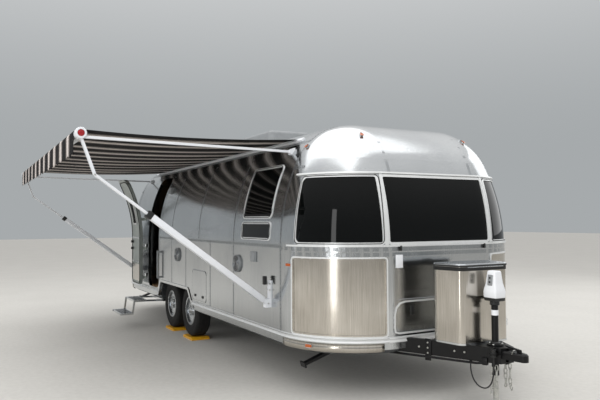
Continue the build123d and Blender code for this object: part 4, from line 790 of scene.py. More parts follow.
frontCurb, frontStreet = frontSides = onSkin(1, -1), onSkin(1, 1)
rearCurb, rearStreet = rearSides = onSkin(-1, -1), onSkin(-1, 1)


def onFront(path):
    return [(spot, path) for spot in frontSides]


sideLength = quarterEnd + frontAxisX - rearAxisX
seams = {
    "width": 34,
    "thick": 1.0,
    "cut": 90 * mm,
    "pitch": 40 * mm,
    "rivet": 5.6,
    "rivetHigh": 2.4,
    "roofX": [-1.46, -2.62, -3.78, -4.94, -6.1, -7.14],
    "roofCuts": 60,
    # Upright seams of each side: x, and the heights between which they run
    "curb": [
        (-2.62, 0.57, 2.39), (-3.36, 0.57, 1.36), (-3.78, 1.36, 2.39), (-4.30, 0.72, 1.36),
        (-4.94, 0.74, 2.39), (-5.56, 0.69, 2.30), (-7.14, 0.57, 2.39),
    ],
    "street": [
        (-2.62, 1.36, 2.39), (-2.66, 0.57, 1.36), (-3.92, 0.57, 1.36), (-4.60, 1.36, 2.39),
        (-5.50, 1.36, 2.39), (-5.80, 0.57, 1.36), (-7.14, 0.57, 2.39),
    ],
}
uprights = {
    side: [[(wallAlong(x), low), (wallAlong(x), high)] for x, low, high in seams[side]]
    for side in ("curb", "street")
}
cornerRun = [(quarterEnd + 0.02, 0.57), (quarterEnd + 0.02, 2.39)]
roofEdgeRun = [(quarterEnd + 0.05, 2.39), (sideLength, 2.39)]
capRun = [(angleAlong(76), 2.115), (quarterEnd, 2.115)]
curbRuns = [
    cornerRun,
    [(quarterEnd + 0.02, 1.36), (wallAlong(-5.58), 1.36)],
    [(wallAlong(-6.86), 1.36), (sideLength, 1.36)],
    roofEdgeRun,
    *uprights["curb"],
    capRun,
]
streetRuns = [
    cornerRun,
    [(quarterEnd + 0.02, 1.36), (sideLength, 1.36)],
    roofEdgeRun,
    *uprights["street"],
    capRun,
]
plainRuns = [
    [(0.0, 1.345), (quarterEnd, 1.345)],
    [(0.0, 1.2975), (angleAlong(76), 1.2975)],
    [(shoulderY, 2.05), (shoulderY, 2.44)],
]
rearRuns = [
    [(0.0, 1.345), (quarterEnd, 1.345)],
    [(0.66, 0.57), (0.66, 2.42)],
    [(angleAlong(46), 0.57), (angleAlong(46), 2.42)],
    [(0.0, 2.13), (quarterEnd, 2.13)],
]
seamRows = [(spot, cutPath(run, seams["cut"])) for spot in frontSides for run in plainRuns]
rivetSpots = []
for spot, runs in (
    (frontCurb, curbRuns), (frontStreet, streetRuns), (rearCurb, rearRuns), (rearStreet, rearRuns),
):
    for run in runs:
        seamRows.append((spot, cutPath(run, seams["cut"])))
        rivetSpots += spotsAlong(spot, run, seams["pitch"], seams["thick"] * mm)
roofRun = shell["shoulderRadius"] * (math.pi / 2 - sectionAt(shell["seamZ"])[1]) + shoulderY
steps = round(2 * roofRun / seams["pitch"])
roofPath = [(0, index / seams["roofCuts"]) for index in range(seams["roofCuts"] + 1)]
for x in seams["roofX"]:
    seamRows.append(((lambda a, z, out, x=x: onRoof(x + a, z, out)), roofPath))
    rivetSpots += [onRoof(x, index / steps, seams["thick"] * mm) for index in range(steps + 1)]
# The seam strips' darker colour is painted shade along the lap joints
strip("panelSeams", seamRows, seams["width"], seams["thick"], "seamShadeAluminium")
# The rivet heads' darker grey is painted shade round each head
studs("panelRivets", rivetSpots, seams["rivet"], seams["rivetHigh"], "rivetPaintedShade")
print("seams and rivets made", len(rivetSpots))


# ---- window trims, drip rails and sills

windows = {
    # Side windows: place behind the front, length, sill, top and corner radius, all in mm
    "curb": [(1040, 700, 1640, 2160, 70), (1040, 700, 1420, 1585, 55)],
    "street": [(1040, 700, 1480, 2080, 60), (2500, 900, 1480, 2080, 60), (5150, 900, 1480, 2080, 60)],
    "endZ": (1.395, 2.015),
    "endCorner": 40 * mm,
    "mullionY": 0.630,
    "gap": 0.023,
    "wrapEnd": 74,
    "railEnd": 82,
    "railAbove": 22 * mm,
    "railBelow": 20 * mm,
}
gaskets = []
for side, spot in (("curb", frontCurb), ("street", frontStreet)):
    for start, long, low, top, corner in windows[side]:
        x = shell["frontX"] - start * mm
        path = loopPath(wallAlong(x), wallAlong(x - long * mm), low * mm, top * mm, corner * mm)
        gaskets.append((spot, path))
lowZ, topZ = windows["endZ"]
mullionY = windows["mullionY"]
wrap = loopPath(
    mullionY + windows["gap"], angleAlong(windows["wrapEnd"]), lowZ, topZ, windows["endCorner"]
)
gaskets += onFront(cutPath(wrap, coarseCut))
strip("windowSeals", gaskets, 8, 7.4, "sealRubber", low=4, slot="black_plastic")
railEnd = angleAlong(windows["railEnd"])
railLevels = (topZ + windows["railAbove"], lowZ - windows["railBelow"])
rails = [(spot, cutPath([(0, z), (railEnd, z)], fineCut)) for spot in frontSides for z in railLevels]
# The rails' pale part-diffuse enamel is partly their colour and partly painted reflection that keeps them
# bright
strip("windowRails", rails, 15, 17, "paleEnamelSheen")
mullion = cutPath([(mullionY, lowZ - 10 * mm), (mullionY, topZ + 12 * mm)], coarseCut)
strip("mullionCovers", onFront(mullion), 34, 12, "paleEnamelSheen")
print("window trims made")


# ---- rub rail beads, lower guard skirts, guard bolts and edges

rubRail = {"levels": (0.522, 0.556), "start": 0.62, "archX": (-3.99, -5.63), "bead": 7, "out": 19.5}
archFront, archRear = (wallAlong(x) for x in rubRail["archX"])
frontPieces = [(rubRail["start"], archFront), (archRear, sideLength)]
beads = []
for spots, pieces in ((frontSides, frontPieces), (rearSides, [(0.0, quarterEnd)])):
    for spot in spots:
        for a, b in pieces:
            beads += [(spot, cutPath([(a, z), (b, z)], coarseCut)) for z in rubRail["levels"]]
strip("rubRailBeads", beads, rubRail["bead"], rubRail["out"], "brightTrim", low=12)

skirt = {
    "start": 0.66,
    "end": 88,
    "thick": 1.5 * mm,
    # Height in m and distance from the skin in mm
    "profile": [(0.511, 2.2), (0.466, 2.2), (0.450, 0.0), (0.438, -8.0), (0.430, -22.0), (0.428, -40.0)],
}
skirtMesh = bmesh.new()
skirtPath = cutPath([(skirt["start"], 0.5), (angleAlong(skirt["end"]), 0.5)], 40 * mm)
columns = len(skirtPath) - 1
rows = len(skirt["profile"]) - 1
for spot in (*frontSides, *rearSides):
    grid = bmesh.ops.create_grid(skirtMesh, x_segments=columns, y_segments=rows, size=0.5)["verts"]
    for vertex in grid:
        a = skirtPath[round((vertex.co.x + 0.5) * columns)][0]
        z, out = skirt["profile"][round((vertex.co.y + 0.5) * rows)]
        vertex.co = spot(a, z, out * mm)[0]
giveWall(addPiece("lowerSkirts", skirtMesh, "brushedStainless"), skirt["thick"])

guardEnd = angleAlong(76)
guards = {
    "screwLoop": (0.641, guardEnd, 0.581, 1.259, 25 * mm),
    "screwPitch": 95 * mm,
    "screwOut": 7.7 * mm,
    "edgeLoop": (0.629, guardEnd + 12 * mm, 0.570, 1.270, 30 * mm),
}
screwLoop = loopPath(*guards["screwLoop"])
guardBolts = []
for spot in frontSides:
    guardBolts += spotsAlong(spot, screwLoop, guards["screwPitch"], guards["screwOut"])
studs("guardScrews", guardBolts, 4.2, 2.0, "zincPlate", slot="stainless")
guardEdge = cutPath(loopPath(*guards["edgeLoop"]), fineCut)
strip("guardEdges", onFront(guardEdge), 14, 10, "paleEnamelSheen")
print("rail and guards dressed")


# ---- lamps: bright bases round the marker and tail lamps

lamps = {
    "rim": 3 * mm,
    # Both sides of an end, degrees round the corner, then in mm how high the lamp's middle is,
    # how wide and how tall it is
    "rows": [
        (frontSides, 80, 1195, 60, 26),
        (frontSides, 62, 480, 60, 26),
        (frontSides, 87, 2330, 54, 24),
        (frontSides, 18, 2420, 54, 24),
        (rearSides, 62, 1120, 110, 150),
        (rearSides, 62, 870, 110, 60),
    ],
}
bezels = []
for spots, angle, z, wide, tall in lamps["rows"]:
    middle = angleAlong(angle)
    half = wide * mm / 2 + lamps["rim"]
    rise = tall * mm / 2 + lamps["rim"]
    path = loopPath(middle - half, middle + half, z * mm - rise, z * mm + rise, rise * 0.7, 4)
    bezels += [(spot, path) for spot in spots]
strip("lampBezels", bezels, 7, 13, "brightTrim")


# ---- speakers and outlet on the curb side

speakers = {
    "x": (-2.5, -4.65),
    "z": 1.14,
    "face": 22 * mm,
    "rings": (88, 66, 46, 26),
    "wire": 3.2,
    "cloth": [(82, -1), (80, 1.5), (0.0, 2)],
}
rings, discs = [], []
speakerY = -shell["halfWidth"] - speakers["face"]
for x in speakers["x"]:
    discs.append(((x, speakerY, speakers["z"]), (0, -1, 0), speakers["cloth"]))
    centre = Vector((x, speakerY - 1.5 * mm, speakers["z"]))
    for radius in speakers["rings"]:
        rings.append((circle(centre, xWay, zWay, radius * mm, 32), speakers["wire"], True))
turned("speakerCloths", discs, "blackNylon", slot="fitting_plastic")
tubes("speakerRings", rings, "machinedAlloy")
# The outlet's lid and its finger lip
outlet = [((-2.07, -1.308, 1.235), (96, 5, 84)), ((-2.07, -1.311, 1.262), (40, 4, 12))]
plates("outletLid", outlet, "greyAbs")


# ---- locker door and front hatch: rivets round the flange, bead and latches

flange = {"rivet": 4.6, "high": 2.0, "out": 3.2 * mm}
locker = {
    "rivetLoop": (wallAlong(-3.504), wallAlong(-4.016), 0.594, 0.971, 38 * mm),
    "pitch": 42 * mm,
    "latchX": (-3.62, -3.90),
    "latchY": -shell["halfWidth"] - 6 * mm,
    "latchZ": 0.65,
    "latch": (46, 11, 30),
}
lockerEdge = loopPath(*locker["rivetLoop"])
lockerRivets = spotsAlong(frontCurb, lockerEdge, locker["pitch"], flange["out"])
# The locker's rivets take the same darker grey, painted shade round the heads
studs("lockerRivets", lockerRivets, flange["rivet"], flange["high"], "rivetPaintedShade", body="locker_door")
hatch = {
    "pitch": 40 * mm,
    "rivetRuns": [
        [(0.0, 0.584), (0.52, 0.584)], [(0.566, 0.63), (0.566, 0.84)], [(0.03, 0.886), (0.52, 0.886)],
    ],
    "bead": [
        (0.0, 0.592), (0.51, 0.592), (0.548, 0.603), (0.558, 0.64), (0.556, 0.76), (0.538, 0.82),
        (0.50, 0.858), (0.44, 0.872), (0.0, 0.872),
    ],
    # Latches: distance ahead of the skin in mm, height in m, size in mm
    "latches": [(5, 0.79, (11, 34, 84)), (12, 0.80, (8, 20, 44))],
    "latchY": (-0.36, 0.36),
}
hatchRivets = []
for spot in frontSides:
    for run in hatch["rivetRuns"]:
        hatchRivets += spotsAlong(spot, run, hatch["pitch"], flange["out"])
# The hatch's rivets take the same darker grey, painted shade round the heads
studs("hatchRivets", hatchRivets, flange["rivet"], flange["high"], "rivetPaintedShade", body="front_hatch")
strip("hatchBead", onFront(hatch["bead"]), 15, 10, "paleEnamelSheen", body="front_hatch")
latches = [
    ((shell["frontX"] + out * mm, y, z), size) for out, z, size in hatch["latches"] for y in hatch["latchY"]
]
plates("hatchLatches", latches, "blackNylon", bevel=3, body="front_hatch")
latches = [((x, locker["latchY"], locker["latchZ"]), locker["latch"]) for x in locker["latchX"]]
plates("lockerLatches", latches, "blackNylon", bevel=3, body="locker_door")
print("hatches dressed")


# ---- entry door: the liner's trims, knobs and seal on the open leaf, and its outer sheet

door = {
    "hinge": (-6.224, -1.332, 0),
    "open": math.radians(178),
    "wall": 45 * mm,
    # Loops and runs in x and z, as they lie with the door closed
    "seal": (-6.196, -5.624, 0.60, 2.27, 95 * mm),
    "window": (-6.045, -5.775, 1.575, 1.965, 45 * mm),
    "trims": [[(-6.17, 0.95), (-5.65, 0.95)], [(-6.17, 1.34), (-5.65, 1.34)]],
    "kickPlate": [(-5.91, 0.64), (-5.91, 0.91)],
    "screws": (-6.175, -5.645, 0.625, 2.24, 85 * mm),
    "screwPitch": 70 * mm,
    "screwOut": 0.6 * mm,
    "knobs": ((-5.68, 1.16), (-5.68, 1.27)),
    "knob": [(27, 0), (27, 5), (15, 8), (15, 24), (22, 27), (22, 36), (0.0, 39)],
    "sheet": 0.8 * mm,
    "sheetReach": 8 * mm,
}
hinge = Vector(door["hinge"])
opening = Matrix.Rotation(door["open"], 3, "Z")
closing = Matrix.Rotation(-door["open"], 3, "Z")


def onDoor(x, z, out=0.0):
    # A place on the leaf's inner face, given as it lies when closed, and turned open
    lean, tilt = sectionAt(z)
    depth = door["wall"] + out
    closed = Vector((x, -shell["halfWidth"] + lean + depth * math.cos(tilt), z - depth * math.sin(tilt)))
    return hinge + opening @ (closed - hinge), opening @ Vector((0, math.cos(tilt), -math.sin(tilt)))


onLeaf = {"body": "entry_door"}
sealPath = cutPath(loopPath(*door["seal"]), fineCut)
strip("doorSeal", [(onDoor, sealPath)], 12, 8, "sealRubber", **onLeaf)
trimPaths = [cutPath(loopPath(*door["window"]), fineCut), *door["trims"]]
strip("doorTrims", [(onDoor, path) for path in trimPaths], 26, 7, "brightTrim", **onLeaf)
strip("doorKickPlate", [(onDoor, door["kickPlate"])], 500, 2.2, "brushedStainless", **onLeaf)
knobs = [(*onDoor(x, z), door["knob"]) for x, z in door["knobs"]]
turned("doorKnobs", knobs, "blackNylon", steps=20, **onLeaf)
doorScrews = spotsAlong(onDoor, loopPath(*door["screws"]), door["screwPitch"], door["screwOut"])
studs("doorScrews", doorScrews, 3.4, 1.6, "machinedAlloy", **onLeaf)
# The outer sheet is the outward faces of a copy of the leaf, given a thin wall
outerMesh = bmesh.new()
outerMesh.from_mesh(nodes["entry_door"].data)
bmesh.ops.remove_doubles(outerMesh, verts=outerMesh.verts, dist=0.01 * mm)
inside = []
for face in outerMesh.faces:
    centre = hinge + closing @ (face.calc_center_median() - hinge)
    gap = centre.y + shell["halfWidth"] - sectionAt(centre.z)[0]
    if (closing @ face.normal).y > -0.5 or abs(gap) > door["sheetReach"]:
        inside.append(face)
bmesh.ops.delete(outerMesh, geom=inside, context="FACES")
bmesh.ops.solidify(outerMesh, geom=outerMesh.faces, thickness=-door["sheet"])
bmesh.ops.recalc_face_normals(outerMesh, faces=outerMesh.faces)
addPiece("doorOuterSheet", outerMesh, "polishedAluminium", **onLeaf)
print("door dressed")


# ---- wheels: tyres with a tread, nuts, caps and lips

wheels = {
    "hubY": 1.1025,
    "hubZ": 0.3803,
    "steps": 144,
    # Half of the tyre's section: radius and distance from its middle, in mm
    "half": [
        (197.5, 84), (204, 90), (216, 95), (232, 99.5), (240, 101.8), (244, 101.8), (262, 102.2),
        (284, 101), (300, 98.5), (303, 99.6), (308, 99), (322, 94), (334, 88), (341, 80), (344, 74),
        (344.6, 52), (337, 50), (337, 44), (344.8, 42), (344.9, 17), (337, 15), (337, 9), (344.9, 7),
    ],
    "cutEvery": 3,
    "cutDepth": 5.5 * mm,
    "cutFrom": (0.3335, 0.053),
    "nutCircle": 57 * mm,
    "faceIn": 17 * mm,
    "cap": [(34, -12), (34, 6), (29, 12), (18, 15), (0.0, 16)],
    "lip": 190 * mm,
    "lipIn": 4 * mm,
    "places": [
        ("front_left", -4.41, 1), ("front_right", -4.41, -1),
        ("rear_left", -5.25, 1), ("rear_right", -5.25, -1),
    ],
}
section = [(radius, -wide) for radius, wide in wheels["half"]]
section += [(radius, wide) for radius, wide in reversed(wheels["half"])]


def tyreShape(name, hub):
    # The section is spun about the hub, then every third step of the shoulder is cut lower
    mesh = spinShape([(hub, yWay, section)], wheels["steps"], closed=True)
    shoulderRadius, shoulderOut = wheels["cutFrom"]
    for vertex in mesh.verts:
        offset = vertex.co - hub
        step = round(math.atan2(offset.z, offset.x) / math.tau * wheels["steps"])
        radius = math.hypot(offset.x, offset.z)
        if radius > shoulderRadius and abs(offset.y) > shoulderOut and step % wheels["cutEvery"] == 0:
            share = 1 - wheels["cutDepth"] / radius
            vertex.co = hub + Vector((offset.x * share, offset.y, offset.z * share))
    addPiece(name + "TyreShape", mesh, "tyreCompound", body=name + "_wheel", replaces=[name + "_tyre"])


for name, x, side in wheels["places"]:
    tyreShape(name, Vector((x, side * wheels["hubY"], wheels["hubZ"])))
    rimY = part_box(name + "_rim")[1 if side > 0 else 0].y
    face = Vector((x, rimY - side * wheels["faceIn"], wheels["hubZ"]))
    out = Vector((0, side, 0))
    alloy = {"body": name + "_wheel", "slot": "wheel_alloy"}
    nuts = [(place, out) for place in circle(face, xWay, zWay, wheels["nutCircle"], 6, 0.5)]
    studs(name + "Nuts", nuts, 10, 15, "brightTrim", sides=6, crown=0.8, sink=14, **alloy)
    turned(name + "Cap", [(face, out, wheels["cap"])], "brightTrim", **alloy)
    lipCentre = Vector((x, rimY - side * wheels["lipIn"], wheels["hubZ"]))
    lip = circle(lipCentre, xWay, zWay, wheels["lip"], 64)
    tubes(name + "Lip", [(lip, 4, True)], "brightTrim", sides=6, **alloy)
print("wheels made")


# ---- awning hardware

hexBolt = {"sides": 6, "crown": 0.85}
arms = {
    "base": (-1.324, 0.800),
    "elbow": (-2.960, 2.010),
    "share": 0.70,
    "x": (-1.682, -6.918),
    "start": 60 * mm,
    "sleeve": (78, 58),
    "collar": (84, 66, 54),
    "collarPast": 22 * mm,
    "boltRows": ((-2.960, 2.010), (-1.324, 0.800), (-1.31, 0.99), (-1.31, 0.93)),
    "knob": (40, 36, 84),
    "capOut": 31.5 * mm,
    "cap": [(49, -2), (50, 4), (46, 11), (31, 12), (30, 4), (0.0, 4)],
    "disc": [(30, 3), (29, 8), (22, 11), (0.0, 12)],
}
armA = Vector((0, *arms["base"]))
armB = Vector((0, *arms["elbow"]))
armRun = (armB - armA).normalized()
armTurn = turnTo(armRun, Vector((0, 0.6, 0.8)))
sleeveLength = (armB - armA).length * arms["share"] - arms["start"]
sleeveAt = armA + armRun * (arms["start"] + sleeveLength / 2)
collarAt = armA + armRun * (arms["start"] + sleeveLength + arms["collarPast"])
sleeves, collars, capRings, redDiscs, armBolts, knobs = [], [], [], [], [], []
for x, end in zip(arms["x"], (1, -1)):
    sleeves.append((sleeveAt + xWay * x, (*arms["sleeve"], sleeveLength / mm), armTurn))
    collars.append((collarAt + xWay * x, arms["collar"], armTurn))
    centre = (x + end * arms["capOut"], awning["rollerY"], awning["rollerZ"])
    capRings.append((centre, (end, 0, 0), arms["cap"]))
    redDiscs.append((centre, (end, 0, 0), arms["disc"]))
    for y, z in arms["boltRows"]:
        reach = (32 if y > -1.4 else 21) * mm
        armBolts += [(Vector((x + face * reach, y, z)), xWay * face) for face in (-1, 1)]
    knobs.append(((x - 26 * mm, -1.336, 1.02), arms["knob"]))
plates("armSleeves", sleeves, "whitePowderCoat", bevel=7)
plates("armCollars", collars, "blackNylon", bevel=5)
turned("rollerCaps", capRings, "whitePowderCoat")
turned("rollerDiscs", redDiscs, "redLens")
studs("armBolts", armBolts, 9, 6, "zincPlate", **hexBolt)
plates("armKnobs", knobs, "blackNylon", bevel=7)
print("awning hardware made")


# ---- hitch: chains, spring bars, coupler, frame bolts and jack

chain = {
    "x": 0.060,
    "y": 0.07864,
    "top": 0.4062,
    "long": 58 * mm,
    "wide": 34 * mm,
    "wire": 5.2,
    "pitch": 41.6 * mm,
    "count": 4,
    # How far the two strands of a side stand apart, as half steps in x and y
    "strands": (9 * mm, 17 * mm),
    "eye": 13 * mm,
    "eyeDrop": 21 * mm,
    "claw": [(0, -13), (0, -26), (4, -36), (12, -44), (20, -42), (25, -33), (24, -22)],
}
flat = (chain["long"] - chain["wide"]) / 2
bend = chain["wide"] / 2 - chain["wire"] * mm
chainRows = []
for side, strand in [(side, strand) for side in (-1, 1) for strand in (-1, 1)]:
    chainX = chain["x"] + strand * chain["strands"][0]
    chainY = side * chain["y"] + strand * chain["strands"][1]
    for link in range(chain["count"]):
        middle = Vector((chainX, chainY, chain["top"] - chain["long"] / 2 - link * chain["pitch"]))
        across = Vector((0.9, 0.4, 0)) if (link + strand) % 4 < 2 else Vector((-0.4, 0.9, 0))
        loop = circle(middle, across, zWay, bend, 16, 0.5)
        loop = [point + zWay * (flat if point.z > middle.z else -flat) for point in loop]
        chainRows.append((loop, chain["wire"], True))
    eyeZ = chain["top"] - chain["count"] * chain["pitch"] - chain["eyeDrop"]
    eye = Vector((chainX, chainY, eyeZ))
    chainRows.append((circle(eye, yWay, zWay, chain["eye"], 16), chain["wire"], True))
    if strand == side:
        claw = [eye + (yWay * side * a + zWay * b) * mm for a, b in chain["claw"]]
        chainRows.append((claw, chain["wire"], False))
tubes("chainLinks", chainRows, "zincPlate", replaces=["safety_chains"])
print("chains made")

bars = {
    "lean": math.radians(25),
    "noseY": 0.046,
    "noseX": 0.130,
    "bar": [(-0.01, 0.420), (0.06, 0.408), (0.80, 0.404)],
    "barOut": 36 * mm,
    "radius": 11,
    # Brackets and sockets: along the member, out from it, height, size in mm
    "brackets": [(0.46, 32 * mm, 0.468, (10, 56, 190)), (0.0, 24 * mm, 0.430, (44, 44, 60))],
    "boltAt": (0.46, 37 * mm),
    "boltZ": (0.44, 0.485, 0.53),
    "frameBolts": (0.16, 0.24, 0.46, 0.54),
    "frameBoltOut": 26 * mm,
    "frameBoltZ": 0.484,
}


def byFrame(side, along, lateral, z):
    # A place beside a member of the frame, along it from the coupler, and its outward direction
    away = Vector((math.sin(bars["lean"]), side * math.cos(bars["lean"]), 0))
    y = side * (bars["noseY"] + (bars["noseX"] + along) * math.tan(bars["lean"]))
    return Vector((-along, y, z)) + away * lateral, away


barRows, bracketRows, bracketBolts = [], [], []
for side in (-1, 1):
    bar = [byFrame(side, along, bars["barOut"], z)[0] for along, z in bars["bar"]]
    barRows.append((bar, bars["radius"], False))
    for along, out, z, size in bars["brackets"]:
        place, away = byFrame(side, along, out, z)
        bracketRows.append((place, size, Matrix.Rotation(math.atan2(away.y, away.x), 4, "Z")))
    bracketBolts += [byFrame(side, *bars["boltAt"], z) for z in bars["boltZ"]]
tubes("springBars", barRows, "chassisEnamel", sides=12)
plates("barBrackets", bracketRows, "chassisEnamel", bevel=3)
studs("bracketBolts", bracketBolts, 9, 6, "zincPlate", **hexBolt)

coupler = {
    "ball": (0.300, 0, 0.516),
    "collar": [(33, 0), (31, 9), (22, 14), (0.0, 15)],
    "pin": [(0.232, -0.046, 0.545), (0.232, 0.046, 0.545)],
    "clip": [
        (0.232, -0.046, 0.545), (0.225, -0.050, 0.520), (0.205, -0.048, 0.508), (0.196, -0.040, 0.520),
    ],
    "topBolts": ((-0.058, 0.0), (0.03, 0.052), (0.03, -0.052)),
    "topBoltZ": 0.560,
    "sideBolts": ((0.09, 0.062, 0.50), (0.122, 0.062, 0.50)),
}
frameBolts = [(Vector((x, y, coupler["topBoltZ"])), zWay) for x, y in coupler["topBolts"]]
for side in (-1, 1):
    frameBolts += [(Vector((x, side * y, z)), yWay * side) for x, y, z in coupler["sideBolts"]]
    for along in bars["frameBolts"]:
        frameBolts.append(byFrame(side, along, bars["frameBoltOut"], bars["frameBoltZ"]))
studs("frameBolts", frameBolts, 10, 7, "zincPlate", **hexBolt)
tubes("couplerPin", [(coupler["pin"], 4.5, False), (coupler["clip"], 2, False)], "zincPlate")
turned("couplerCollar", [(coupler["ball"], zWay, coupler["collar"])], "chassisEnamel")

jack = {
    "lowZ": 0.920,
    # The housing's outlines: rise in mm, then width and depth in m
    "levels": [(24, 0.140, 0.122), (84, 0.144, 0.126), (150, 0.112, 0.098), (254, 0.090, 0.078)],
    "corners": ((-1, -1), (1, -1), (1, 1), (-1, 1)),
    "skirt": (132, 114, 36),
    "panel": (54, 12, 92),
    "panelLean": math.radians(-6),
    "panelY": -0.0465,
    "panelZ": 1.095,
    "switchY": -0.0515,
    "switchZ": (1.08, 1.115),
    "switch": [(9, 0), (8, 5), (0.0, 6)],
    "band": [(29.2, 0), (29.8, 0.4), (29.8, 44.6), (29.2, 45)],
    "bandZ": 0.80,
    "collarZ": (0.560, 0.880),
    "lowCollar": [(42, 0), (40, 12), (30, 20), (29.2, 20)],
    "highCollar": [(29.2, 0), (40, 8), (40, 38), (0.0, 39)],
}
headMesh = bmesh.new()
headLoops = []
for rise, wide, deep in jack["levels"]:
    z = jack["lowZ"] + rise * mm
    ring = [headMesh.verts.new((a * wide / 2, b * deep / 2, z)) for a, b in jack["corners"]]
    headLoops.append([headMesh.edges.new(pair) for pair in zip(ring, ring[1:] + ring[:1])])
for low, high in zip(headLoops, headLoops[1:]):
    bmesh.ops.bridge_loops(headMesh, edges=low + high)
bmesh.ops.holes_fill(headMesh, edges=headMesh.edges, sides=0)
bmesh.ops.recalc_face_normals(headMesh, faces=headMesh.faces)
soften(headMesh, 13, 4)
addPiece("jackHousing", headMesh, "whiteAbs", replaces=["jack_head"])
skirtZ = jack["lowZ"] + jack["skirt"][2] * mm / 2
plates("jackSkirt", [((0, 0, skirtZ), jack["skirt"])], "blackNylon", bevel=8)
panelTurn = Matrix.Rotation(jack["panelLean"], 4, "X")
plates("jackPanel", [((0, jack["panelY"], jack["panelZ"]), jack["panel"], panelTurn)], "greyAbs", bevel=5)
switches = [
    ((0, jack["switchY"] + (z - jack["panelZ"]) * 0.1, z), (0, -1, 0.1), jack["switch"])
    for z in jack["switchZ"]
]
turned("jackSwitches", switches, "blackNylon", steps=14)
turned("jackPostBands", [((0, 0, jack["bandZ"]), zWay, jack["band"])], "whiteAbs")
lowZ, highZ = jack["collarZ"]
collars = [((0, 0, lowZ), zWay, jack["lowCollar"]), ((0, 0, highZ), zWay, jack["highCollar"])]
turned("jackCollars", collars, "blackNylon")
print("hitch dressed")


# ---- gas cover: rim seal, foot flange, hinge knuckles and handle

cover = {
    "rearX": -430,
    "frontX": -105,
    "rearHalf": 330,
    "frontHalf": 270,
    "corner": 60.0,
    "hinge": (-0.0997, 1.2013),
    "knuckles": 22,
    "hingeHalf": 0.2,
    # Bands: growth from the plan and thickness in mm, and their two heights
    "seal": (0.2, 1.171, 1.203, 5.0),
    "foot": (0.2, 0.548, 0.564, 3.0),
    "lidRim": (8.1, 1.2065, 1.218, 2.2),
    "handleAt": (-0.445, 0, 1.222),
    "handle": (10, 110, 18),
}


def coverPath(grow):
    # The cover's plan with turned corners, grown outwards by a gap
    frontX, rearX = cover["frontX"] + grow, cover["rearX"] - grow
    frontY, rearY = cover["frontHalf"] + grow, cover["rearHalf"] + grow
    corners = [Vector(at) for at in ((frontX, -frontY), (frontX, frontY), (rearX, rearY), (rearX, -rearY))]
    points = []
    reach = cover["corner"] + grow
    for index, here in enumerate(corners):
        back = (corners[index - 1] - here).normalized()
        ahead = (corners[(index + 1) % 4] - here).normalized()
        angle = back.angle(ahead) / 2
        centre = here + (back + ahead).normalized() * reach / math.sin(angle)
        first = here + back * reach / math.tan(angle) - centre
        last = here + ahead * reach / math.tan(angle) - centre
        for step in range(7):
            points.append((centre + first.slerp(last, step / 6).normalized() * reach) * mm)
    return points


def coverRing(name, grow, low, high, thick, finish, **options):
    # A band round the cover between two heights: two outlines bridged, then pulled up
    mesh = bmesh.new()
    edges = []
    for path in (coverPath(grow), coverPath(grow + thick)):
        ring = [mesh.verts.new((point.x, point.y, low)) for point in path]
        edges += [mesh.edges.new(pair) for pair in zip(ring, ring[1:] + ring[:1])]
    flat = bmesh.ops.bridge_loops(mesh, edges=edges)["faces"]
    pulled = bmesh.ops.extrude_face_region(mesh, geom=flat, use_keep_orig=True)["geom"]
    rising = [part for part in pulled if isinstance(part, bmesh.types.BMVert)]
    bmesh.ops.translate(mesh, verts=rising, vec=(0, 0, high - low))
    bmesh.ops.recalc_face_normals(mesh, faces=mesh.faces)
    addPiece(name, mesh, finish, **options)


onLid = {"body": "gas_cover_lid"}
coverRing("coverSeal", *cover["seal"], "sealRubber")
coverRing("coverFoot", *cover["foot"], "brightTrim")
coverRing("lidRim", *cover["lidRim"], "sealRubber", **onLid)
hingeX, hingeZ = cover["hinge"]
knuckles = []
for index in range(cover["knuckles"]):
    y = cover["hingeHalf"] * (2 * index / (cover["knuckles"] - 1) - 1)
    knuckles.append(([(hingeX, y - 4 * mm, hingeZ), (hingeX, y + 4 * mm, hingeZ)], 6.2, False))
tubes("lidKnuckles", knuckles, "brightTrim", **onLid)
plates("lidHandle", [(cover["handleAt"], cover["handle"])], "blackNylon", bevel=3, **onLid)
print("gas cover dressed")


# ---- roof units

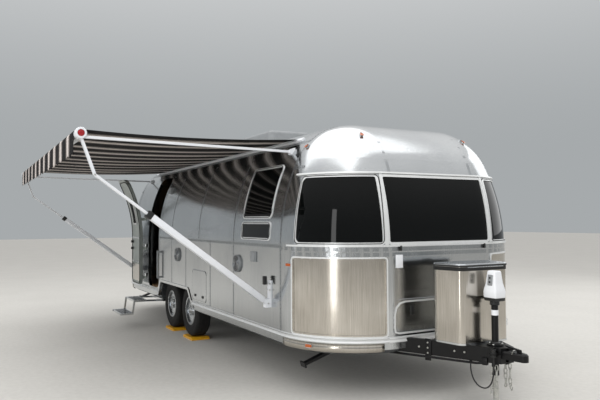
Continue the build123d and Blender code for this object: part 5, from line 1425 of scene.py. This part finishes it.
roofUnits = {
    "louvres": 9,
    "louvrePitch": 0.081,
    "louvreStart": 0.20,
    "louvreY": 0.329,
    "louvreZ": 2.665,
    "louvreLean": math.radians(10),
    "louvre": (46, 12, 92),
    "ventX": (-2.40, -6.55),
    "ribY": (-0.11, 0.0, 0.11),
    "ribZ": shell["roofZ"] + 86 * mm,
    "rib": (300, 14, 6),
}
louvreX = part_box("air_conditioner")[0].x + roofUnits["louvreStart"]
louvres = []
for side in (-1, 1):
    turn = Matrix.Rotation(side * roofUnits["louvreLean"], 4, "X")
    for index in range(roofUnits["louvres"]):
        x = louvreX + roofUnits["louvrePitch"] * index
        place = (x, side * roofUnits["louvreY"], roofUnits["louvreZ"])
        louvres.append((place, roofUnits["louvre"], turn))
plates("unitLouvres", louvres, "greyAbs", bevel=2)
ribs = [
    ((x, y, roofUnits["ribZ"]), roofUnits["rib"]) for x in roofUnits["ventX"] for y in roofUnits["ribY"]
]
plates("ventRibs", ribs, "whiteAbs", bevel=2)


# ---- entry step, bumper, street side covers and the tag

grips = {
    "x": -5.91,
    "treads": ((-1.56, 0.4136), (-1.76, 0.2286)),
    "offsets": (-60, -20, 20, 60),
    "size": (470, 22, 2.4),
}
stepPads = [
    ((grips["x"], y + offset * mm, z), grips["size"])
    for y, z in grips["treads"] for offset in grips["offsets"]
]
plates("stepGrips", stepPads, "sealRubber", bevel=0.8)
plates("bumperPlate", [((-8.1005, 0.0, 0.487), (5, 305, 92))], "whitePowderCoat")
covers = {
    # Street side covers: x, z, width and height
    "rows": [(-2.96, 0.80, 0.52, 0.42), (-5.18, 0.98, 0.46, 0.26), (-6.30, 0.82, 0.40, 0.38)],
    "lock": [(14, -1), (13, 3), (0.0, 4)],
    "lockUp": 40 * mm,
    "out": 10.3 * mm,
    "corner": 12 * mm,
}
coverLocks, coverFrames = [], []
for x, z, wide, tall in covers["rows"]:
    lowZ, topZ = z - tall / 2, z + tall / 2
    for offset in (-wide / 3, wide / 3):
        place = (x + offset, shell["halfWidth"] + covers["out"], lowZ + covers["lockUp"])
        coverLocks.append((place, yWay, covers["lock"]))
    edge = loopPath(wallAlong(x + wide / 2), wallAlong(x - wide / 2), lowZ, topZ, covers["corner"])
    coverFrames.append((frontStreet, edge))
turned("coverLocks", coverLocks, "brightTrim", steps=16)
strip("coverFrames", coverFrames, 16, 12.5, "brightTrim")

# A plain tag under the front window, and two clips on its sill
tag = {
    "at": (shell["frontX"] + 2.4 * mm, -0.50, 1.235),
    "size": (1.6, 80, 118),
    "clipAt": [(shell["frontX"] + 12 * mm, y, 1.352) for y in (-0.49, 0.53)],
    "clip": (22, 20, 46),
}
plates("blankTag", [(tag["at"], tag["size"])], "whiteAbs", bevel=0.5)
plates("sillClips", [(place, tag["clip"]) for place in tag["clipAt"]], "blackNylon", bevel=4)
print("small fittings made")
